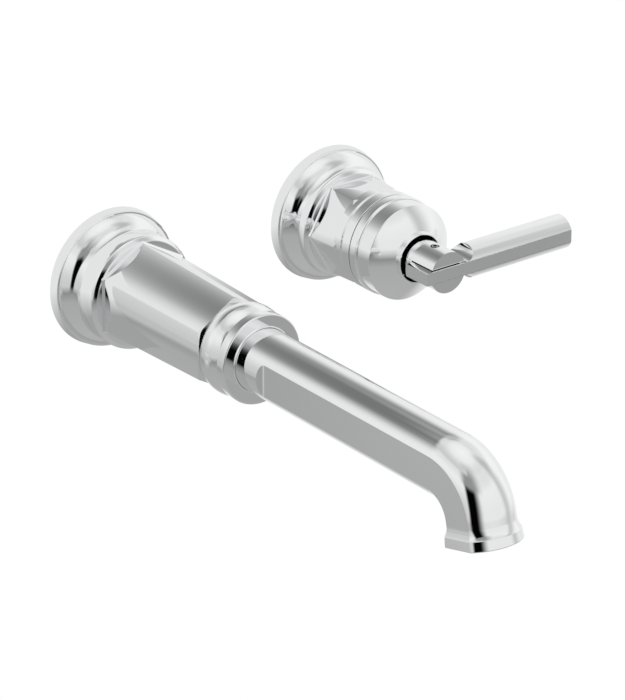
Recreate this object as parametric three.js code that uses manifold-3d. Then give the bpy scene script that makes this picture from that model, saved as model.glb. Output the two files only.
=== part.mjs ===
// Wall-mounted basin faucet: a spout unit and a lever unit on one concealed valve.
//
// Millimetres, +Z up. The finished wall is the plane y = 0 and the room is on its -Y side.
// The origin is where the spout's axis meets the wall; the lever unit stands to its right (+X).
// Outlines are lists of [radius, reach]: reach is the distance out of the wall, towards -Y,
// and it is negative inside the wall.

import * as THREE from 'three';
import { mergeVertices } from 'three/addons/utils/BufferGeometryUtils.js';
import Module from 'manifold-3d';

const wasm = await Module();
wasm.setup();

// Clearances and tessellation
const gap = 0.3;
const overrun = 1.5;
const weldDistance = 1e-4;
const roundFacets = 30;
const hiddenFacets = 16;
const smallFacets = 12;
const curveFacets = 6;
const arcFacets = 3;
const hexSides = 6;
const quarterTurn = Math.PI / 2;
const sixthTurn = Math.PI / 3;

// The two units stand side by side
const unitSpacing = 101.6;

// Escutcheon dish: rim band, convex bell, concave fillet and neck
const dish = {
  rimRadius: 27.0,
  rimDepth: 3.9,
  rimTaper: 0.7,
  ledgeWidth: 0.8,
  ledgeDepth: 0.3,
  bellRound: 9.4,
  bellStartTilt: THREE.MathUtils.degToRad(20),
  bellEndTilt: THREE.MathUtils.degToRad(50),
  neckRadius: 21.0,
  wall: 1.9,
  opening: 15.5,
};
const spoutDishLength = 17.9;
const leverDishLength = 12.0;

// Foam gasket inside the rim of each escutcheon
const gasket = { radius: 24.4, width: 3.4, thickness: 2.0 };

// Hexagonal sleeve of the spout: flange, hexagon, shoulder, nose and rear spigot
const sleeve = {
  flangeRadius: 22.1,
  flangeWidth: 1.7,
  coneLength: 2.0,
  faceRadius: 18.9,
  rearCorner: 20.4,
  frontCorner: 18.75,
  hexLength: 56.3,
  coveRadius: 15.3,
  coveLength: 3.8,
  shoulderRadius: 17.65,
  shoulderLength: 4.2,
  shoulderRound: 5.6,
  noseRadius: 14.6,
  noseLength: 2.1,
  spigotRadius: 15.2,
  spigotLength: 12.0,
};

// Flat disc in front of the sleeve
const disc = {
  radius: 17.1,
  thickness: 4.1,
  rimRound: 0.6,
  rimFall: 0.6,
  beadRadius: 12.9,
  beadHeight: 0.4,
};

// Spout tube: round shank, flatted straight and bend, flared mouth
const tube = {
  radius: 12.05,
  flatShare: 0.861,
  bore: 8.4,
  shankLength: 22.0,
  roundReach: 109.0,
  bendReach: 201.4,
  bendRadius: 16.75,
  bendAngle: THREE.MathUtils.degToRad(76),
  mouthStraight: 1.7,
  coveLength: 3.8,
  coveFlare: 1.05,
  coveMiddleShare: 0.62,
  coveFlareShare: 0.3,
  lipLength: 3.8,
  lipFlare: 0.5,
  lipRound: 0.6,
};
const bendSteps = 8;

// Aerator in the mouth
const aerator = {
  radius: 9.1,
  depth: 9.0,
  wall: 1.1,
  recess: 0.8,
  insertLength: 4.2,
  screenThickness: 0.6,
  washerThickness: 1.5,
  holeRadius: 0.75,
};
const aeratorRings = [{ radius: 0, count: 1 }, { radius: 2.7, count: 6 }, { radius: 5.4, count: 12 }];

// Threaded pipe that carries the spout
const nipple = { radius: 10.4, bore: 7.6, rear: -20.0, front: 46.0 };

// Rubber seals and the beds they lie in
const seal = { section: 0.7, bedDepth: 1.5, bedWidth: 2.2, spacing: 6.0 };

// Grub screws, set along their own length
const tipShare = 0.55;
const spoutGrub = { radius: 2.0, length: 5.4, reach: 28.0, socket: 0.95, socketDepth: 2.4 };
const leverGrub = { radius: 1.45, length: 4.0, beforeFloor: 4.2, socket: 0.75, socketDepth: 1.8 };

// Hexagonal bonnet of the lever unit: flange, hexagon, waist and drum
const bonnet = {
  flangeRadius: 21.6,
  flangeWidth: 1.4,
  coneLength: 2.0,
  faceRadius: 19.0,
  rearCorner: 20.1,
  frontCorner: 19.5,
  hexLength: 14.3,
  hexChamfer: 0.8,
  waistRadius: 18.7,
  waistLength: 2.0,
  waistRise: 2.0,
  drumRadius: 19.4,
  drumLength: 4.6,
  spigotLength: 4.0,
  spigotBore: 11.3,
  floor: 2.0,
  bore: 15.4,
  capBore: 16.9,
  capBoreDepth: 6.0,
};

// Cap: grip ring, band, cone and small raised ring
const cap = {
  gripRadius: 19.5,
  gripLength: 3.3,
  gripRound: 1.1,
  bandRadius: 18.85,
  bandLength: 5.3,
  edgeRound: 1.0,
  ringRadius: 10.0,
  coneReach: 55.4,
  ringReach: 57.6,
  ringRound: 0.35,
  opening: 9.35,
  wall: 2.0,
};

// Hub with a slot for the lever
const hub = {
  radius: 8.13,
  rear: 42.0,
  front: 74.2,
  edge: 0.4,
  stemSocket: 12.0,
  screwRadius: 1.9,
  screwHeadRadius: 3.2,
  screwHeadHeight: 2.6,
  screwSeat: 58.6,
  screwSocket: 1.3,
  screwLength: 12.0,
};

// Lever: a round bar with a flat front, thinned to a blade where it passes through the hub
const lever = {
  barRadius: 6.7,
  bladeHeight: 5.0,
  front: 75.2,
  leftReach: 10.8,
  rightReach: 59.2,
  scoopReach: 8.0,
  scoopRadius: 5.0,
  endRound: 1.0,
};

// Cartridge and the nut that holds it
const cartridge = {
  radius: 11.0,
  flangeRadius: 12.9,
  flangeLength: 3.0,
  rear: -34.0,
  front: 26.0,
  neckRadius: 8.0,
  neckLength: 7.0,
  stemRadius: 3.9,
  stemFlat: 2.9,
  stemDepth: 16.0,
  inletRadius: 2.2,
  inletSpread: 5.0,
  inletLength: 10.0,
  outletRadius: 3.0,
};
const nut = { corner: 17.5, front: 7.6, lip: 2.0, length: 14.0 };

// Concealed castings
const casting = {
  rear: -46.0,
  waterReach: -28.0,
  waterRadius: 5.5,
  bossRadius: 12.5,
};
const valve = {
  radius: 17.0,
  shoulderReach: -9.0,
  neckRadius: 13.6,
  front: 2.0,
  bossLength: 34.0,
  inletSpread: 15.0,
  inletDrop: 46.0,
  inletBore: 9.2,
  inletDepth: 16.0,
  feedRadius: 3.0,
  feedReach: -39.0,
};
const elbow = { radius: 14.5, front: -5.0, bossLength: 26.0 };
const crossPipe = { radius: 7.95, wall: 1.0, socket: 10.0 };

// Bracket inside the wall and its screws
const bracket = { thickness: 3.0, height: 60.0, overhang: 38.0, corner: 6.0, screwInset: 12.0 };
const wallScrew = {
  radius: 2.4,
  length: 22.0,
  headRadius: 5.0,
  headHeight: 2.6,
  crownShare: 0.7,
  socket: 1.8,
  socketDepth: 1.4,
};
const clampScrew = {
  radius: 3.0,
  length: 11.0,
  headRadius: 5.2,
  headHeight: 2.0,
  rise: 9.5,
  socket: 1.8,
  socketDepth: 1.2,
};

// Reaches that follow from the sizes above
const sleeveRear = spoutDishLength + gap;
const sleeveFace = sleeveRear + sleeve.flangeWidth + sleeve.coneLength;
const hexFront = sleeveFace + sleeve.hexLength;
const noseStart = hexFront + sleeve.shoulderLength + sleeve.shoulderRound;
const sleeveFront = noseStart + sleeve.noseLength;
const discRear = sleeveFront + gap;
const discFront = discRear + disc.thickness;
const shankRear = discRear - tube.shankLength;
const mouthLength = tube.mouthStraight + tube.coveLength + tube.lipLength;
const bonnetRear = leverDishLength + gap;
const bonnetFace = bonnetRear + bonnet.flangeWidth + bonnet.coneLength;
const bonnetHexFront = bonnetFace + bonnet.hexLength;
const drumRear = bonnetHexFront + bonnet.waistLength + bonnet.waistRise;
const bonnetFront = drumRear + bonnet.drumLength;
const capRear = bonnetFront + gap;
const capBand = capRear + cap.gripLength;
const capEdge = capBand + cap.gripRound + cap.bandLength;
const barReach = lever.front - Math.sqrt(lever.barRadius ** 2 - (lever.bladeHeight / 2) ** 2);
const slotFloor = barReach - lever.barRadius - gap;
const leverGrubReach = slotFloor + leverGrub.beforeFloor;
const bracketFront = casting.rear - gap;
const bracketRear = bracketFront - bracket.thickness;
const shankSeals = [shankRear + seal.spacing, shankRear + seal.spacing * 2];
const nippleSeals = [nipple.front - seal.spacing * 2, nipple.front - seal.spacing];

// Directions
const outward = new THREE.Vector3(0, -1, 0);
const inward = new THREE.Vector3(0, 1, 0);

function at(x, reach, z) {
  return new THREE.Vector3(x, -reach, z);
}

// Turns an outline about the Y axis; it may start and end on the axis or close on itself
function turned(outline, facets = roundFacets) {
  const points = outline.map(([radius, reach]) => new THREE.Vector2(radius, -reach));
  const onAxis = points[0].x === 0 && points.at(-1).x === 0;
  if (!onAxis) points.push(points[0].clone());
  if (THREE.ShapeUtils.isClockWise(points)) points.reverse();
  return new THREE.LatheGeometry(points, facets);
}

// Outline of a rod, or of a tube if it has an inner radius
function bandOutline(outer, inner, rear, front) {
  return [[inner, rear], [outer, rear], [outer, front], [inner, front]];
}

// Points of an arc in an outline; the angle is the tilt of the surface towards the room
function arcOutline(centreRadius, centreReach, size, from, to, steps = arcFacets) {
  return Array.from({ length: steps + 1 }, (_, step) => {
    const angle = THREE.MathUtils.lerp(from, to, step / steps);
    return [centreRadius + size * Math.cos(angle), centreReach + size * Math.sin(angle)];
  });
}

// Quarter round on the outer front edge of an outline
function roundedEdge(radius, reach, round, steps = arcFacets) {
  return arcOutline(radius - round, reach - round, round, 0, quarterTurn, steps);
}

// Moves a shape drawn out of the wall so that it starts at a place and runs along a direction
function aimed(geometry, place, direction) {
  const turn = new THREE.Quaternion().setFromUnitVectors(outward, direction.clone().normalize());
  geometry.applyQuaternion(turn);
  geometry.translate(place.x, place.y, place.z);
  return geometry;
}

// A flat shape in the XZ plane, drawn out from a reach
function extruded(shape, reach, depth) {
  const options = { depth, bevelEnabled: false, curveSegments: curveFacets };
  const geometry = new THREE.ExtrudeGeometry(shape, options);
  geometry.rotateX(quarterTurn);
  geometry.translate(0, -reach, 0);
  return geometry;
}

// A closed geometry as a solid for cutting and joining
function solid(geometry) {
  const bare = geometry.clone();
  bare.deleteAttribute('normal');
  bare.deleteAttribute('uv');
  const welded = mergeVertices(bare, weldDistance);
  const corners = welded.index.array;
  const triangles = [];
  for (let start = 0; start < corners.length; start += 3) {
    const [a, b, c] = corners.slice(start, start + 3);
    if (a !== b && b !== c && c !== a) triangles.push(a, b, c);
  }
  return new wasm.Manifold(new wasm.Mesh({
    numProp: 3,
    vertProperties: Float32Array.from(welded.attributes.position.array),
    triVerts: Uint32Array.from(triangles),
  }));
}

// A finished solid as a flat-shaded geometry
function skin(piece) {
  const mesh = piece.getMesh();
  const shared = new THREE.BufferGeometry();
  shared.setAttribute('position', new THREE.BufferAttribute(Float32Array.from(mesh.vertProperties), 3));
  shared.setIndex(new THREE.BufferAttribute(Uint32Array.from(mesh.triVerts), 1));
  const geometry = shared.toNonIndexed();
  geometry.computeVertexNormals();
  return geometry;
}

function turnedSolid(outline, facets) {
  return solid(turned(outline, facets));
}

function joined(pieces) {
  return pieces.reduce((whole, piece) => whole.add(piece));
}

function cut(piece, tools) {
  return tools.reduce((rest, tool) => rest.subtract(tool), piece);
}

// A straight rod between two places
function rod(from, to, radius, facets = hiddenFacets) {
  const along = new THREE.Vector3().subVectors(to, from);
  return solid(aimed(turned(bandOutline(radius, 0, 0, along.length()), facets), from, along));
}

// A block between two opposite corners
function block(corner, opposite) {
  const box = new THREE.Box3().setFromPoints([corner, opposite]);
  const size = box.getSize(new THREE.Vector3());
  const middle = box.getCenter(new THREE.Vector3());
  const geometry = new THREE.BoxGeometry(size.x, size.y, size.z);
  geometry.translate(middle.x, middle.y, middle.z);
  return solid(geometry);
}

// Tapered hexagon with a corner at the top, or a flat at the top after half a side's turn
function hexagon(rearCorner, frontCorner, rear, front, turn = 0) {
  const geometry = new THREE.CylinderGeometry(rearCorner, frontCorner, front - rear, hexSides);
  geometry.rotateY(turn);
  geometry.translate(0, -(rear + front) / 2, 0);
  return solid(geometry);
}

function finished(name, geometry, color, roughness, metalness) {
  const mesh = new THREE.Mesh(geometry, new THREE.MeshStandardMaterial({ color, roughness, metalness }));
  mesh.name = name;
  return mesh;
}

const chrome = (name, geometry) => finished(name, geometry, 0xd9dcde, 0.06, 1);
const brass = (name, geometry) => finished(name, geometry, 0xb68d4a, 0.35, 1);
const copper = (name, geometry) => finished(name, geometry, 0xb8734b, 0.3, 1);
const steel = (name, geometry) => finished(name, geometry, 0xa7aaad, 0.3, 1);
const rubber = (name, geometry) => finished(name, geometry, 0x17181a, 0.7, 0);
const plastic = (name, geometry) => finished(name, geometry, 0xe4e2da, 0.45, 0);
const foam = (name, geometry) => finished(name, geometry, 0x4a4c50, 0.9, 0);

// Escutcheon, hollow behind
function dishOutline(length) {
  const bandRadius = dish.rimRadius - dish.rimTaper;
  const ledgeReach = dish.rimDepth + dish.ledgeDepth;
  const bellStart = bandRadius - dish.ledgeWidth;
  const bell = arcOutline(
    bellStart - dish.bellRound * Math.cos(dish.bellStartTilt),
    ledgeReach - dish.bellRound * Math.sin(dish.bellStartTilt),
    dish.bellRound,
    dish.bellStartTilt,
    dish.bellEndTilt,
  );
  const [edgeRadius, edgeReach] = bell.at(-1);
  const fillet = (edgeRadius - dish.neckRadius) / (1 - Math.cos(dish.bellEndTilt));
  const filletReach = edgeReach + fillet * Math.sin(dish.bellEndTilt);
  const curve = arcOutline(
    dish.neckRadius + fillet, filletReach, fillet, Math.PI + dish.bellEndTilt, Math.PI,
  );
  const pocket = gasket.radius + gap;
  return [
    [dish.rimRadius, 0],
    [bandRadius, dish.rimDepth],
    [bellStart, dish.rimDepth],
    ...bell,
    ...curve.slice(1),
    [dish.neckRadius, length],
    [dish.opening, length],
    [dish.opening, length - dish.wall],
    [dish.neckRadius - dish.wall, length - dish.wall],
    [dish.neckRadius - dish.wall, edgeReach],
    [bellStart - dish.wall * 2, ledgeReach],
    [pocket, gasket.thickness + gap],
    [pocket, 0],
  ];
}

function gasketOutline() {
  return bandOutline(gasket.radius, gasket.radius - gasket.width, 0, gasket.thickness);
}

// Bed of a seal in a shaft, as a cutting tool
function sealBed(radius, reach) {
  const half = seal.bedWidth / 2;
  const bed = bandOutline(radius + overrun, radius - seal.bedDepth, reach - half, reach + half);
  return turnedSolid(bed, hiddenFacets);
}

function sealRing(radius, reach) {
  const middle = radius + gap - (seal.bedDepth + gap) / 2;
  const ring = new THREE.TorusGeometry(middle, seal.section, hexSides, hiddenFacets);
  ring.rotateX(quarterTurn);
  ring.translate(0, -reach, 0);
  return ring;
}

// Grub screw, tip first, with a socket in its outer end
function grubOutline({ radius, length, socket, socketDepth }) {
  return [
    [0, 0],
    [radius * tipShare, 0],
    [radius, radius * tipShare],
    [radius, length],
    [socket, length],
    [socket, length - socketDepth],
    [0, length - socketDepth],
  ];
}

// Flange with a coned front, the root of both hexagons
function flangeOutline({ flangeRadius, flangeWidth, coneLength, faceRadius }, rear) {
  const edge = rear + flangeWidth;
  const face = edge + coneLength;
  return [[0, rear], [flangeRadius, rear], [flangeRadius, edge], [faceRadius, face], [0, face]];
}

const spoutGrubWay = new THREE.Vector3(-Math.sin(sixthTurn / 2), 0, -Math.cos(sixthTurn / 2));

function hexSleeve() {
  const rise = sleeve.shoulderRadius - sleeve.coveRadius;
  const cove = arcOutline(0, 0, 1, -quarterTurn, 0).map(([across, along]) => [
    sleeve.coveRadius + rise * across,
    hexFront + sleeve.coveLength * (1 + along),
  ]);
  const fall = sleeve.shoulderRadius - sleeve.noseRadius;
  const roundReach = hexFront + sleeve.shoulderLength;
  const shoulder = arcOutline(0, 0, 1, 0, quarterTurn).map(([across, along]) => [
    sleeve.noseRadius + fall * across,
    roundReach + sleeve.shoulderRound * along,
  ]);
  const front = turnedSolid([
    [0, hexFront - overrun],
    [sleeve.coveRadius, hexFront - overrun],
    ...cove,
    ...shoulder,
    [sleeve.noseRadius, sleeveFront],
    [0, sleeveFront],
  ]);
  const spigotRear = sleeveRear - sleeve.spigotLength;
  const grubAt = at(0, spoutGrub.reach, 0);
  const outer = joined([
    turnedSolid(flangeOutline(sleeve, sleeveRear)),
    hexagon(sleeve.rearCorner, sleeve.frontCorner, sleeveRear + sleeve.flangeWidth, hexFront),
    front,
    turnedSolid(bandOutline(sleeve.spigotRadius, 0, spigotRear, sleeveRear + gap)),
  ]);
  return cut(outer, [
    turnedSolid(bandOutline(nipple.radius + gap, 0, spigotRear - overrun, nipple.front + gap)),
    turnedSolid(bandOutline(nipple.bore, 0, nipple.front, shankRear)),
    turnedSolid(bandOutline(tube.radius + gap, 0, shankRear - gap, sleeveFront + overrun)),
    rod(
      grubAt.clone().addScaledVector(spoutGrubWay, nipple.radius),
      grubAt.clone().addScaledVector(spoutGrubWay, sleeve.rearCorner + overrun),
      spoutGrub.radius + gap,
    ),
  ]);
}

function discOutline() {
  const rimReach = discFront - disc.rimRound;
  return [
    [disc.radius, discRear],
    [disc.radius, rimReach],
    [disc.radius - disc.rimFall * (1 - tipShare), rimReach + disc.rimRound * tipShare],
    [disc.radius - disc.rimFall, discFront],
    [disc.beadRadius, discFront],
    [disc.beadRadius - disc.beadHeight, discFront + disc.beadHeight],
    [tube.radius + gap, discFront + disc.beadHeight],
    [tube.radius + gap, discRear],
  ];
}

// Centre line of the bend
class Bend extends THREE.Curve {
  getPoint(share, target = new THREE.Vector3()) {
    const angle = share * tube.bendAngle;
    const fall = tube.bendRadius * (1 - Math.cos(angle));
    return target.copy(at(0, tube.bendReach + tube.bendRadius * Math.sin(angle), -fall));
  }
}

const bend = new Bend();

// Moves a shape drawn out of the wall to the lower end of the bend
function atMouth(geometry) {
  return aimed(geometry, bend.getPoint(1), at(0, Math.cos(tube.bendAngle), -Math.sin(tube.bendAngle)));
}

function roundShape(radius) {
  const shape = new THREE.Shape();
  shape.absarc(0, 0, radius, 0, Math.PI * 2, false);
  return shape;
}

// Round section with a flat on each side
function flattedShape() {
  const half = Math.acos(tube.flatShare);
  const shape = new THREE.Shape();
  shape.absarc(0, 0, tube.radius, half, Math.PI - half, false);
  shape.absarc(0, 0, tube.radius, Math.PI + half, Math.PI * 2 - half, false);
  shape.closePath();
  return shape;
}

function alongBend(shape) {
  const options = { steps: bendSteps, extrudePath: bend, curveSegments: curveFacets };
  return solid(new THREE.ExtrudeGeometry(shape, options));
}

// Side of the flared mouth as [half width, length]; the flats follow it at their share of the radius
function mouthProfile(halfWidth) {
  const coveMiddle = tube.mouthStraight + tube.coveLength * tube.coveMiddleShare;
  const coveEnd = tube.mouthStraight + tube.coveLength;
  return [
    [halfWidth, tube.mouthStraight],
    [halfWidth + tube.coveFlare * tube.coveFlareShare, coveMiddle],
    [halfWidth + tube.coveFlare, coveEnd],
    [halfWidth + tube.coveFlare + tube.lipFlare, mouthLength - tube.lipRound],
  ];
}

function mouthSolid() {
  const side = mouthProfile(tube.radius);
  const round = turned([
    [0, -gap],
    [tube.radius, -gap],
    ...side,
    [side.at(-1)[0] - tube.lipRound, mouthLength],
    [0, mouthLength],
  ]);
  const flat = mouthProfile(tube.radius * tube.flatShare);
  const half = [[flat[0][0], -overrun], ...flat, [flat.at(-1)[0], mouthLength + overrun]];
  const edge = [...half, ...half.toReversed().map(([x, y]) => [-x, y])];
  const shape = new THREE.Shape(edge.map(([x, y]) => new THREE.Vector2(x, y)));
  const slab = new THREE.ExtrudeGeometry(shape, { depth: tube.radius * 4, bevelEnabled: false });
  slab.translate(0, 0, -tube.radius * 2);
  slab.rotateX(Math.PI);
  return solid(atMouth(round)).intersect(solid(atMouth(slab)));
}

function spoutTube() {
  const outer = joined([
    turnedSolid(bandOutline(tube.radius, 0, shankRear, tube.roundReach + gap)),
    solid(extruded(flattedShape(), tube.roundReach, tube.bendReach - tube.roundReach + gap)),
    alongBend(flattedShape()),
    mouthSolid(),
  ]);
  const shortBore = bandOutline(tube.bore, 0, -gap, mouthLength);
  const pocketRear = mouthLength - aerator.depth;
  const pocket = bandOutline(aerator.radius + gap, 0, pocketRear, mouthLength + overrun);
  return cut(outer, [
    turnedSolid(bandOutline(tube.bore, 0, shankRear - overrun, tube.bendReach + gap), hiddenFacets),
    alongBend(roundShape(tube.bore)),
    solid(atMouth(turned(shortBore, hiddenFacets))),
    solid(atMouth(turned(pocket, hiddenFacets))),
    ...shankSeals.map((reach) => sealBed(tube.radius, reach)),
  ]);
}

// Round plate with rings of holes
function perforated(radius, rear, front) {
  const plate = turnedSolid(bandOutline(radius, 0, rear, front), hiddenFacets);
  const drills = aeratorRings.flatMap((ring) => Array.from({ length: ring.count }, (_, index) => {
    const angle = Math.PI * 2 * index / ring.count;
    const [x, z] = [ring.radius * Math.cos(angle), ring.radius * Math.sin(angle)];
    return rod(at(x, rear - overrun, z), at(x, front + overrun, z), aerator.holeRadius, hexSides);
  }));
  return skin(cut(plate, drills));
}

function aeratorPieces() {
  const washerRear = mouthLength - aerator.depth + gap;
  const housingRear = washerRear + aerator.washerThickness + gap;
  const front = mouthLength - aerator.recess;
  const bore = aerator.radius - aerator.wall;
  const screenFront = front - aerator.wall - gap;
  const screenRear = screenFront - aerator.screenThickness;
  const insertFront = screenRear - gap;
  const housing = turned([
    [aerator.radius, housingRear],
    [aerator.radius, front],
    [bore - aerator.wall, front],
    [bore - aerator.wall, front - aerator.wall],
    [bore, front - aerator.wall],
    [bore, housingRear],
  ], hiddenFacets);
  const washerOutline = bandOutline(aerator.radius, tube.bore - gap, washerRear, housingRear - gap);
  const washer = turned(washerOutline, hiddenFacets);
  const insert = perforated(bore - gap, insertFront - aerator.insertLength, insertFront);
  return [
    chrome('aerator_housing', atMouth(housing)),
    rubber('aerator_washer', atMouth(washer)),
    plastic('aerator_insert', atMouth(insert)),
    steel('aerator_screen', atMouth(perforated(bore - gap, screenRear, screenFront))),
  ];
}

function spoutNipple() {
  const pipe = turnedSolid(bandOutline(nipple.radius, nipple.bore, nipple.rear, nipple.front), hiddenFacets);
  return cut(pipe, nippleSeals.map((reach) => sealBed(nipple.radius, reach)));
}

function hexBonnet() {
  const spigotRear = bonnetRear - bonnet.spigotLength;
  const ring = turnedSolid([
    [0, bonnetHexFront - overrun],
    [bonnet.waistRadius, bonnetHexFront - overrun],
    [bonnet.waistRadius, bonnetHexFront + bonnet.waistLength],
    [bonnet.drumRadius, drumRear],
    [bonnet.drumRadius, bonnetFront],
    [0, bonnetFront],
  ]);
  const chamferStart = bonnetHexFront - bonnet.hexChamfer;
  const blank = turnedSolid([
    [0, bonnetRear],
    [bonnet.rearCorner + overrun, bonnetRear],
    [bonnet.rearCorner + overrun, chamferStart - overrun],
    [bonnet.frontCorner, chamferStart],
    [bonnet.waistRadius, bonnetHexFront],
    [0, bonnetHexFront],
  ]);
  const hex = hexagon(
    bonnet.rearCorner, bonnet.frontCorner, bonnetRear + bonnet.flangeWidth, bonnetHexFront, sixthTurn / 2,
  );
  const outer = joined([
    turnedSolid(flangeOutline(bonnet, bonnetRear)),
    hex.intersect(blank),
    ring,
    turnedSolid(bandOutline(sleeve.spigotRadius, 0, spigotRear, bonnetRear + gap)),
  ]);
  return cut(outer, [
    turnedSolid(bandOutline(bonnet.spigotBore, 0, spigotRear - overrun, bonnetFront)),
    turnedSolid(bandOutline(bonnet.bore, 0, bonnetRear + bonnet.floor, bonnetFront)),
    turnedSolid(bandOutline(bonnet.capBore, 0, bonnetFront - bonnet.capBoreDepth, bonnetFront + overrun)),
  ]);
}

function capOutline() {
  const skirtRadius = bonnet.capBore - gap;
  const skirtRear = bonnetFront - bonnet.capBoreDepth + gap;
  const inner = skirtRadius - cap.wall;
  const fall = cap.gripRadius - cap.bandRadius;
  const step = arcOutline(0, 0, 1, 0, quarterTurn, arcFacets).map(([across, along]) => [
    cap.bandRadius + fall * across,
    capBand + cap.gripRound * along,
  ]);
  return [
    [skirtRadius, skirtRear],
    [skirtRadius, capRear],
    [cap.gripRadius, capRear],
    ...step,
    ...roundedEdge(cap.bandRadius, capEdge, cap.edgeRound),
    [cap.ringRadius, cap.coneReach],
    [cap.ringRadius, cap.ringReach - cap.ringRound],
    [cap.ringRadius - cap.ringRound, cap.ringReach],
    [cap.opening, cap.ringReach],
    [cap.opening, cap.coneReach - cap.wall],
    [inner, capEdge - cap.wall * 2],
    [inner, skirtRear],
  ];
}

// Stem with two flats; the allowance widens it for the socket in the hub
function stemSolid(allowance, rear, front) {
  const radius = cartridge.stemRadius + allowance;
  const half = cartridge.stemFlat + allowance;
  const flats = block(at(-radius * 2, rear - overrun, -half), at(radius * 2, front + overrun, half));
  return turnedSolid(bandOutline(radius, 0, rear, front), smallFacets).intersect(flats);
}

function leverHub() {
  const body = turnedSolid([
    [0, hub.rear],
    [hub.radius, hub.rear],
    [hub.radius, hub.front - hub.edge],
    [hub.radius - hub.edge, hub.front],
    [0, hub.front],
  ]);
  const reach = hub.radius + overrun;
  const half = lever.bladeHeight / 2 + gap;
  const socketFront = hub.rear + hub.stemSocket;
  return cut(body, [
    block(at(-reach, slotFloor, -half), at(reach, hub.front + overrun, half)),
    stemSolid(gap, hub.rear - overrun, socketFront),
    rod(at(0, socketFront - overrun, 0), at(0, slotFloor, 0), hub.screwRadius + gap),
    rod(at(0, hub.screwSeat - gap, 0), at(0, slotFloor + gap, 0), hub.screwHeadRadius + gap),
    rod(at(0, leverGrubReach, 0), at(0, leverGrubReach, reach), leverGrub.radius + gap),
  ]);
}

// Screw down the middle of the hub into the stem
function hubScrewOutline() {
  const front = hub.screwSeat + hub.screwHeadHeight;
  const rear = hub.screwSeat - hub.screwLength;
  return [
    [0, rear],
    [hub.screwRadius * tipShare, rear],
    [hub.screwRadius, rear + hub.screwRadius],
    [hub.screwRadius, hub.screwSeat],
    [hub.screwHeadRadius, hub.screwSeat],
    [hub.screwHeadRadius, front],
    [hub.screwSocket, front],
    [hub.screwSocket, hub.screwSeat],
    [0, hub.screwSeat],
  ];
}

function cartridgeStem() {
  const rear = cartridge.front - cartridge.stemDepth + gap;
  const front = hub.rear + hub.stemSocket - gap;
  const tapped = rod(
    at(0, hub.screwSeat - hub.screwLength - gap, 0),
    at(0, front + overrun, 0),
    hub.screwRadius + gap,
  );
  return cut(stemSolid(0, rear, front), [tapped]);
}

function leverSolid() {
  const half = lever.bladeHeight / 2;
  const beyond = lever.barRadius * 2;
  const length = lever.leftReach + lever.rightReach;
  const farEnd = roundedEdge(lever.barRadius, length, lever.endRound);
  const bar = aimed(
    turned([[0, 0], [lever.barRadius, 0], ...farEnd, [0, length]]),
    at(-lever.leftReach, barReach, 0),
    new THREE.Vector3(1, 0, 0),
  );
  const front = block(
    at(-beyond, lever.front, -beyond),
    at(lever.rightReach + overrun, lever.front + beyond, beyond),
  );
  const shoulders = [-1, 1].flatMap((side) => [
    block(
      at(-beyond, barReach - beyond, side * half),
      at(lever.scoopReach, barReach + beyond, side * (half + beyond)),
    ),
    rod(
      at(lever.scoopReach, barReach - beyond, side * (half + lever.scoopRadius)),
      at(lever.scoopReach, barReach + beyond, side * (half + lever.scoopRadius)),
      lever.scoopRadius,
    ),
  ]);
  return cut(solid(bar), [front, ...shoulders]);
}

function cartridgeBody() {
  const flangeRear = valve.front + gap;
  const flangeFront = flangeRear + cartridge.flangeLength;
  const neckRear = cartridge.front - cartridge.neckLength;
  const body = turnedSolid([
    [0, cartridge.rear],
    [cartridge.radius, cartridge.rear],
    [cartridge.radius, flangeRear],
    [cartridge.flangeRadius, flangeRear],
    [cartridge.flangeRadius, flangeFront],
    [cartridge.radius, flangeFront],
    [cartridge.radius, neckRear],
    [cartridge.neckRadius, neckRear],
    [cartridge.neckRadius, cartridge.front],
    [0, cartridge.front],
  ], hiddenFacets);
  const stemWay = bandOutline(
    cartridge.stemRadius + gap, 0, cartridge.front - cartridge.stemDepth, cartridge.front + overrun,
  );
  const inlets = [-1, 1].map((side) => rod(
    at(side * cartridge.inletSpread, cartridge.rear - overrun, 0),
    at(side * cartridge.inletSpread, cartridge.rear + cartridge.inletLength, 0),
    cartridge.inletRadius,
    smallFacets,
  ));
  const outlet = rod(
    at(cartridge.inletSpread, casting.waterReach, 0),
    at(-cartridge.radius - overrun, casting.waterReach, 0),
    cartridge.outletRadius,
    smallFacets,
  );
  return cut(body, [turnedSolid(stemWay, smallFacets), ...inlets, outlet]);
}

function bonnetNut() {
  const rear = nut.front - nut.length;
  return cut(hexagon(nut.corner, nut.corner, rear, nut.front), [
    turnedSolid(bandOutline(valve.neckRadius + gap, 0, rear - overrun, nut.front - nut.lip)),
    turnedSolid(bandOutline(cartridge.radius + gap, 0, rear, nut.front + overrun)),
  ]);
}

// Screw with a countersunk head; the allowance widens it for its hole
function clampOutline(allowance, socketDepth) {
  const headRadius = clampScrew.headRadius + allowance;
  const radius = clampScrew.radius + allowance;
  return [
    [0, socketDepth],
    [clampScrew.socket, socketDepth],
    [clampScrew.socket, 0],
    [headRadius, 0],
    [radius, clampScrew.headHeight],
    [radius, clampScrew.length + allowance],
    [0, clampScrew.length + allowance],
  ];
}

const clampPlace = at(0, bracketRear + gap, clampScrew.rise);

function clampHole(x) {
  const outline = [[0, -overrun], [clampScrew.headRadius + gap, -overrun], ...clampOutline(gap, 0).slice(3)];
  return solid(aimed(turned(outline, smallFacets), clampPlace.clone().setX(x), outward));
}

// Sockets and waterway of a casting's side boss, towards -1 or +1
function bossCuts(side, length) {
  const end = at(side * (length + overrun), casting.waterReach, 0);
  return [
    rod(at(0, casting.waterReach, 0), end, casting.waterRadius),
    rod(at(side * (length - crossPipe.socket), casting.waterReach, 0), end, crossPipe.radius + gap),
  ];
}

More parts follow.
